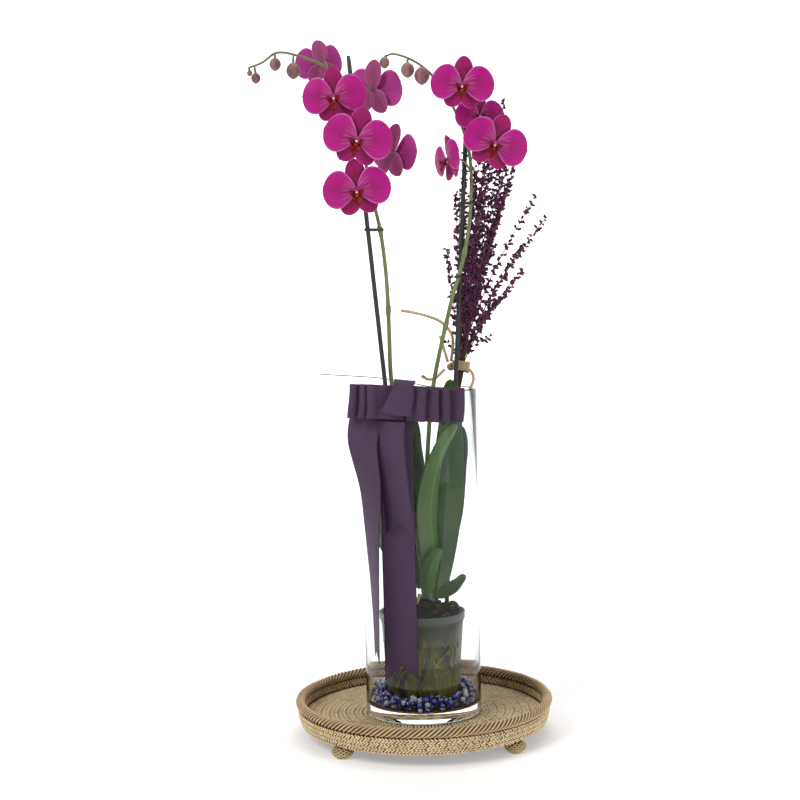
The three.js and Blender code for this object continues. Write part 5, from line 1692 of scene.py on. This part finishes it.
class ORCHID_OT_bow(bpy.types.Operator):
    """Make the bow's stacked loops and the strip that folds over its middle"""

    bl_idname = "orchid.bow"
    bl_label = "Bow"

    def execute(self, context):
        settings = context.scene.orchid_trim
        cloth = ribbon_finish(settings)
        for side, reaches in (("left", (-70, -57, -47)), ("right", (72, 54, 41, 25))):
            bm, total = start_mesh(), 0.0
            for i, reach in enumerate(reaches):
                total += self.loop(bm, reach, BOW_BACK - 4.7 - (5.3 if side == "left" else 4.2) * i, i,
                                   settings)
            made = piece(f"ribbon_loops_{side}", bm, [cloth], "grosgrain", f"bow_loops_{side}")
            thicken(made, 0.8)
        bm = start_mesh()
        length = self.knot(bm, settings)
        made = piece("ribbon_knot", bm, [cloth], "grosgrain", "bow_knot")
        thicken(made, 0.8)
        return {"FINISHED"}

    @staticmethod
    def loop(bm, reach, y, i, settings):
        """A loop on edge: out along the back, round a plump end and in again, pinched behind the next."""
        way, nose = (1 if reach > 0 else -1), 4.2
        far = abs(reach) - nose
        points = [(2, nose * 0.62), (far * 0.5, nose * 0.66), (far - nose * 1.2, nose * 0.84), (far, nose),
                  (far + nose * 0.71, nose * 0.71),
                  (far + nose, 0), (far + nose * 0.71, -nose * 0.71), (far, -nose),
                  (far - nose * 0.8, -nose * 0.72),
                  (far - nose * 1.7, 0), (far - nose * 2.4, nose * 0.3), (far * 0.45, nose * 0.32),
                  (2, nose * 0.3)]
        route = Route([Vector((x, 0, h)) for x, h in points])
        tilt, seed = BOW_TILT + 0.01 * (i - 1), i + (0 if way > 0 else 5)

        def place(u, v):
            p = route.at(v)
            drop = (u - 0.5) * RIBBON
            sway = 0.9 * math.sin(2.2 * u * math.pi / 2 + seed) * (p.x / far)
            x, out = way * p.x + sway, -p.z + 0.25 * math.sin(6 * v + seed)
            z = drop * math.cos(tilt) - x * math.sin(tilt)
            return spot(BOW_X + x + drop * math.sin(tilt), y - out, BOW_Z + z)

        surface(bm, 10, 64, place, 0, (1, ribs_along(settings, route.length * MM)))
        return route.length

    @staticmethod
    def knot(bm, settings):
        """The strip comes over the top of the loops, narrow there, and opens towards its lower left."""
        front = BOW_BACK - 23.4
        line = [(-15.5, BOW_BACK - 1.2, 26), (-15.5, BOW_BACK - 6, 28.0), (-16.5, front + 6, 28.0),
                (-17.5, front + 1.0, 24.0), (-19, front, 16),
                (-21.5, front, 6), (-25, front + 0.4, -4), (-28.5, front + 1.4, -13.5)]
        route = Route([Vector(p) for p in line])

        def place(u, v):
            p = route.at(v)
            x = u - 0.5
            wide = mix(25, 37.5, max(0, (v - 0.42) / 0.58) ** 0.8)
            fold = 4.2 * math.cos(math.pi * x) * mix(0.25, 1.0,
                                                     min(1, 1.3 * v)) + 0.5 * math.sin(9 * x + 2 * v)
            dip = -x * wide * mix(0.1, 0.16, v) - (0.5 * math.cos(TAU * x) if v > 0.9 else 0)
            curl = 3.4 * max(0, x - 0.32) ** 2 * 26
            return spot(p.x + x * wide, p.y - fold * 0.8 + curl * 0.6, BOW_Z + p.z + dip)

        surface(bm, 22, 60, place, 0, (1, ribs_along(settings, route.length * MM)))
        return route.length * MM


class ORCHID_OT_tails(bpy.types.Operator):
    """Make the three ribbon tails with their notched ends"""

    bl_idname = "orchid.tails"
    bl_label = "Ribbon Tails"

    def execute(self, context):
        settings = context.scene.orchid_trim
        cloth = ribbon_finish(settings)
        for name, (points, turns, notch) in TAILS.items():
            line = [(x, -(GLASS_RADIUS + out), z + GLASS_TOP - DRAWN_TOP) for x, out, z in points]
            route, bm = route_mm(line), start_mesh()
            seed = len(name)

            def place(u, v, route=route, turns=turns, notch=notch, seed=seed):
                x = u - 0.5
                # the end is cut in a V, so the rows near it follow the notch
                cut = notch * MM * (1 - abs(2 * x)) / route.length
                t = v * (1 - cut)
                p, along = route.at(t), route.along(t)
                step = t * (len(turns) - 1)
                low = min(int(step), len(turns) - 2)
                side = around(math.radians(mix(turns[low], turns[low + 1], step - low)))[0]
                side = (side - along * side.dot(along)).normalized()
                up = along.cross(side)
                curve = 0.9 * math.cos(math.pi * x) + 0.7 * math.sin(5 * t + seed) * x * 2
                return p + side * x * (RIBBON - 0.6) * MM + up * curve * MM

            surface(bm, 24, 130, place, 0, (1, ribs_along(settings, route.length)))
            made = piece(f"ribbon_{name}", bm, [cloth], "grosgrain", name)
            thicken(made, 0.7)
        return {"FINISHED"}


# ---- Panel and registration ---------------------------------------------------------------------
STEPS = (
    ORCHID_OT_stage, ORCHID_OT_twine_and_wire, ORCHID_OT_tray, ORCHID_OT_tray_feet, ORCHID_OT_glass,
    ORCHID_OT_beads,
    ORCHID_OT_pot, ORCHID_OT_bark, ORCHID_OT_roots_and_crown, ORCHID_OT_leaves, ORCHID_OT_stakes_and_clips,
    ORCHID_OT_spikes,
    ORCHID_OT_flowers, ORCHID_OT_lips, ORCHID_OT_dried_bundle, ORCHID_OT_twine_wrap, ORCHID_OT_bow,
    ORCHID_OT_tails,
)
SETTINGS = {
    "orchid_stage": OrchidStageSettings,
    "orchid_tray": OrchidTraySettings,
    "orchid_glass": OrchidGlassSettings,
    "orchid_plant": OrchidPlantSettings,
    "orchid_trim": OrchidTrimSettings,
}


class ORCHID_PT_build(bpy.types.Panel):
    """Sizes, colours and the steps of the build"""

    bl_idname = "ORCHID_PT_build"
    bl_label = "Potted Orchid"
    bl_space_type = "VIEW_3D"
    bl_region_type = "UI"
    bl_category = "Orchid"

    def draw(self, context):
        for group in SETTINGS:
            settings = getattr(context.scene, group)
            box = self.layout.box()
            for name in settings.bl_rna.properties.keys():
                if name not in ("rna_type", "name"):
                    box.prop(settings, name)
        column = self.layout.column(align=True)
        for step in STEPS:
            column.operator(step.bl_idname)


def register():
    for item in (*SETTINGS.values(), *STEPS, ORCHID_PT_build):
        bpy.utils.register_class(item)
    for name, group in SETTINGS.items():
        setattr(bpy.types.Scene, name, PointerProperty(type=group))


def unregister():
    for name in SETTINGS:
        delattr(bpy.types.Scene, name)
    for item in reversed((*SETTINGS.values(), *STEPS, ORCHID_PT_build)):
        bpy.utils.unregister_class(item)


def main():
    register()
    for step in STEPS:
        area, name = step.bl_idname.split(".")
        getattr(getattr(bpy.ops, area), name)()
    bpy.context.view_layer.update()


if __name__ == "__main__":
    main()
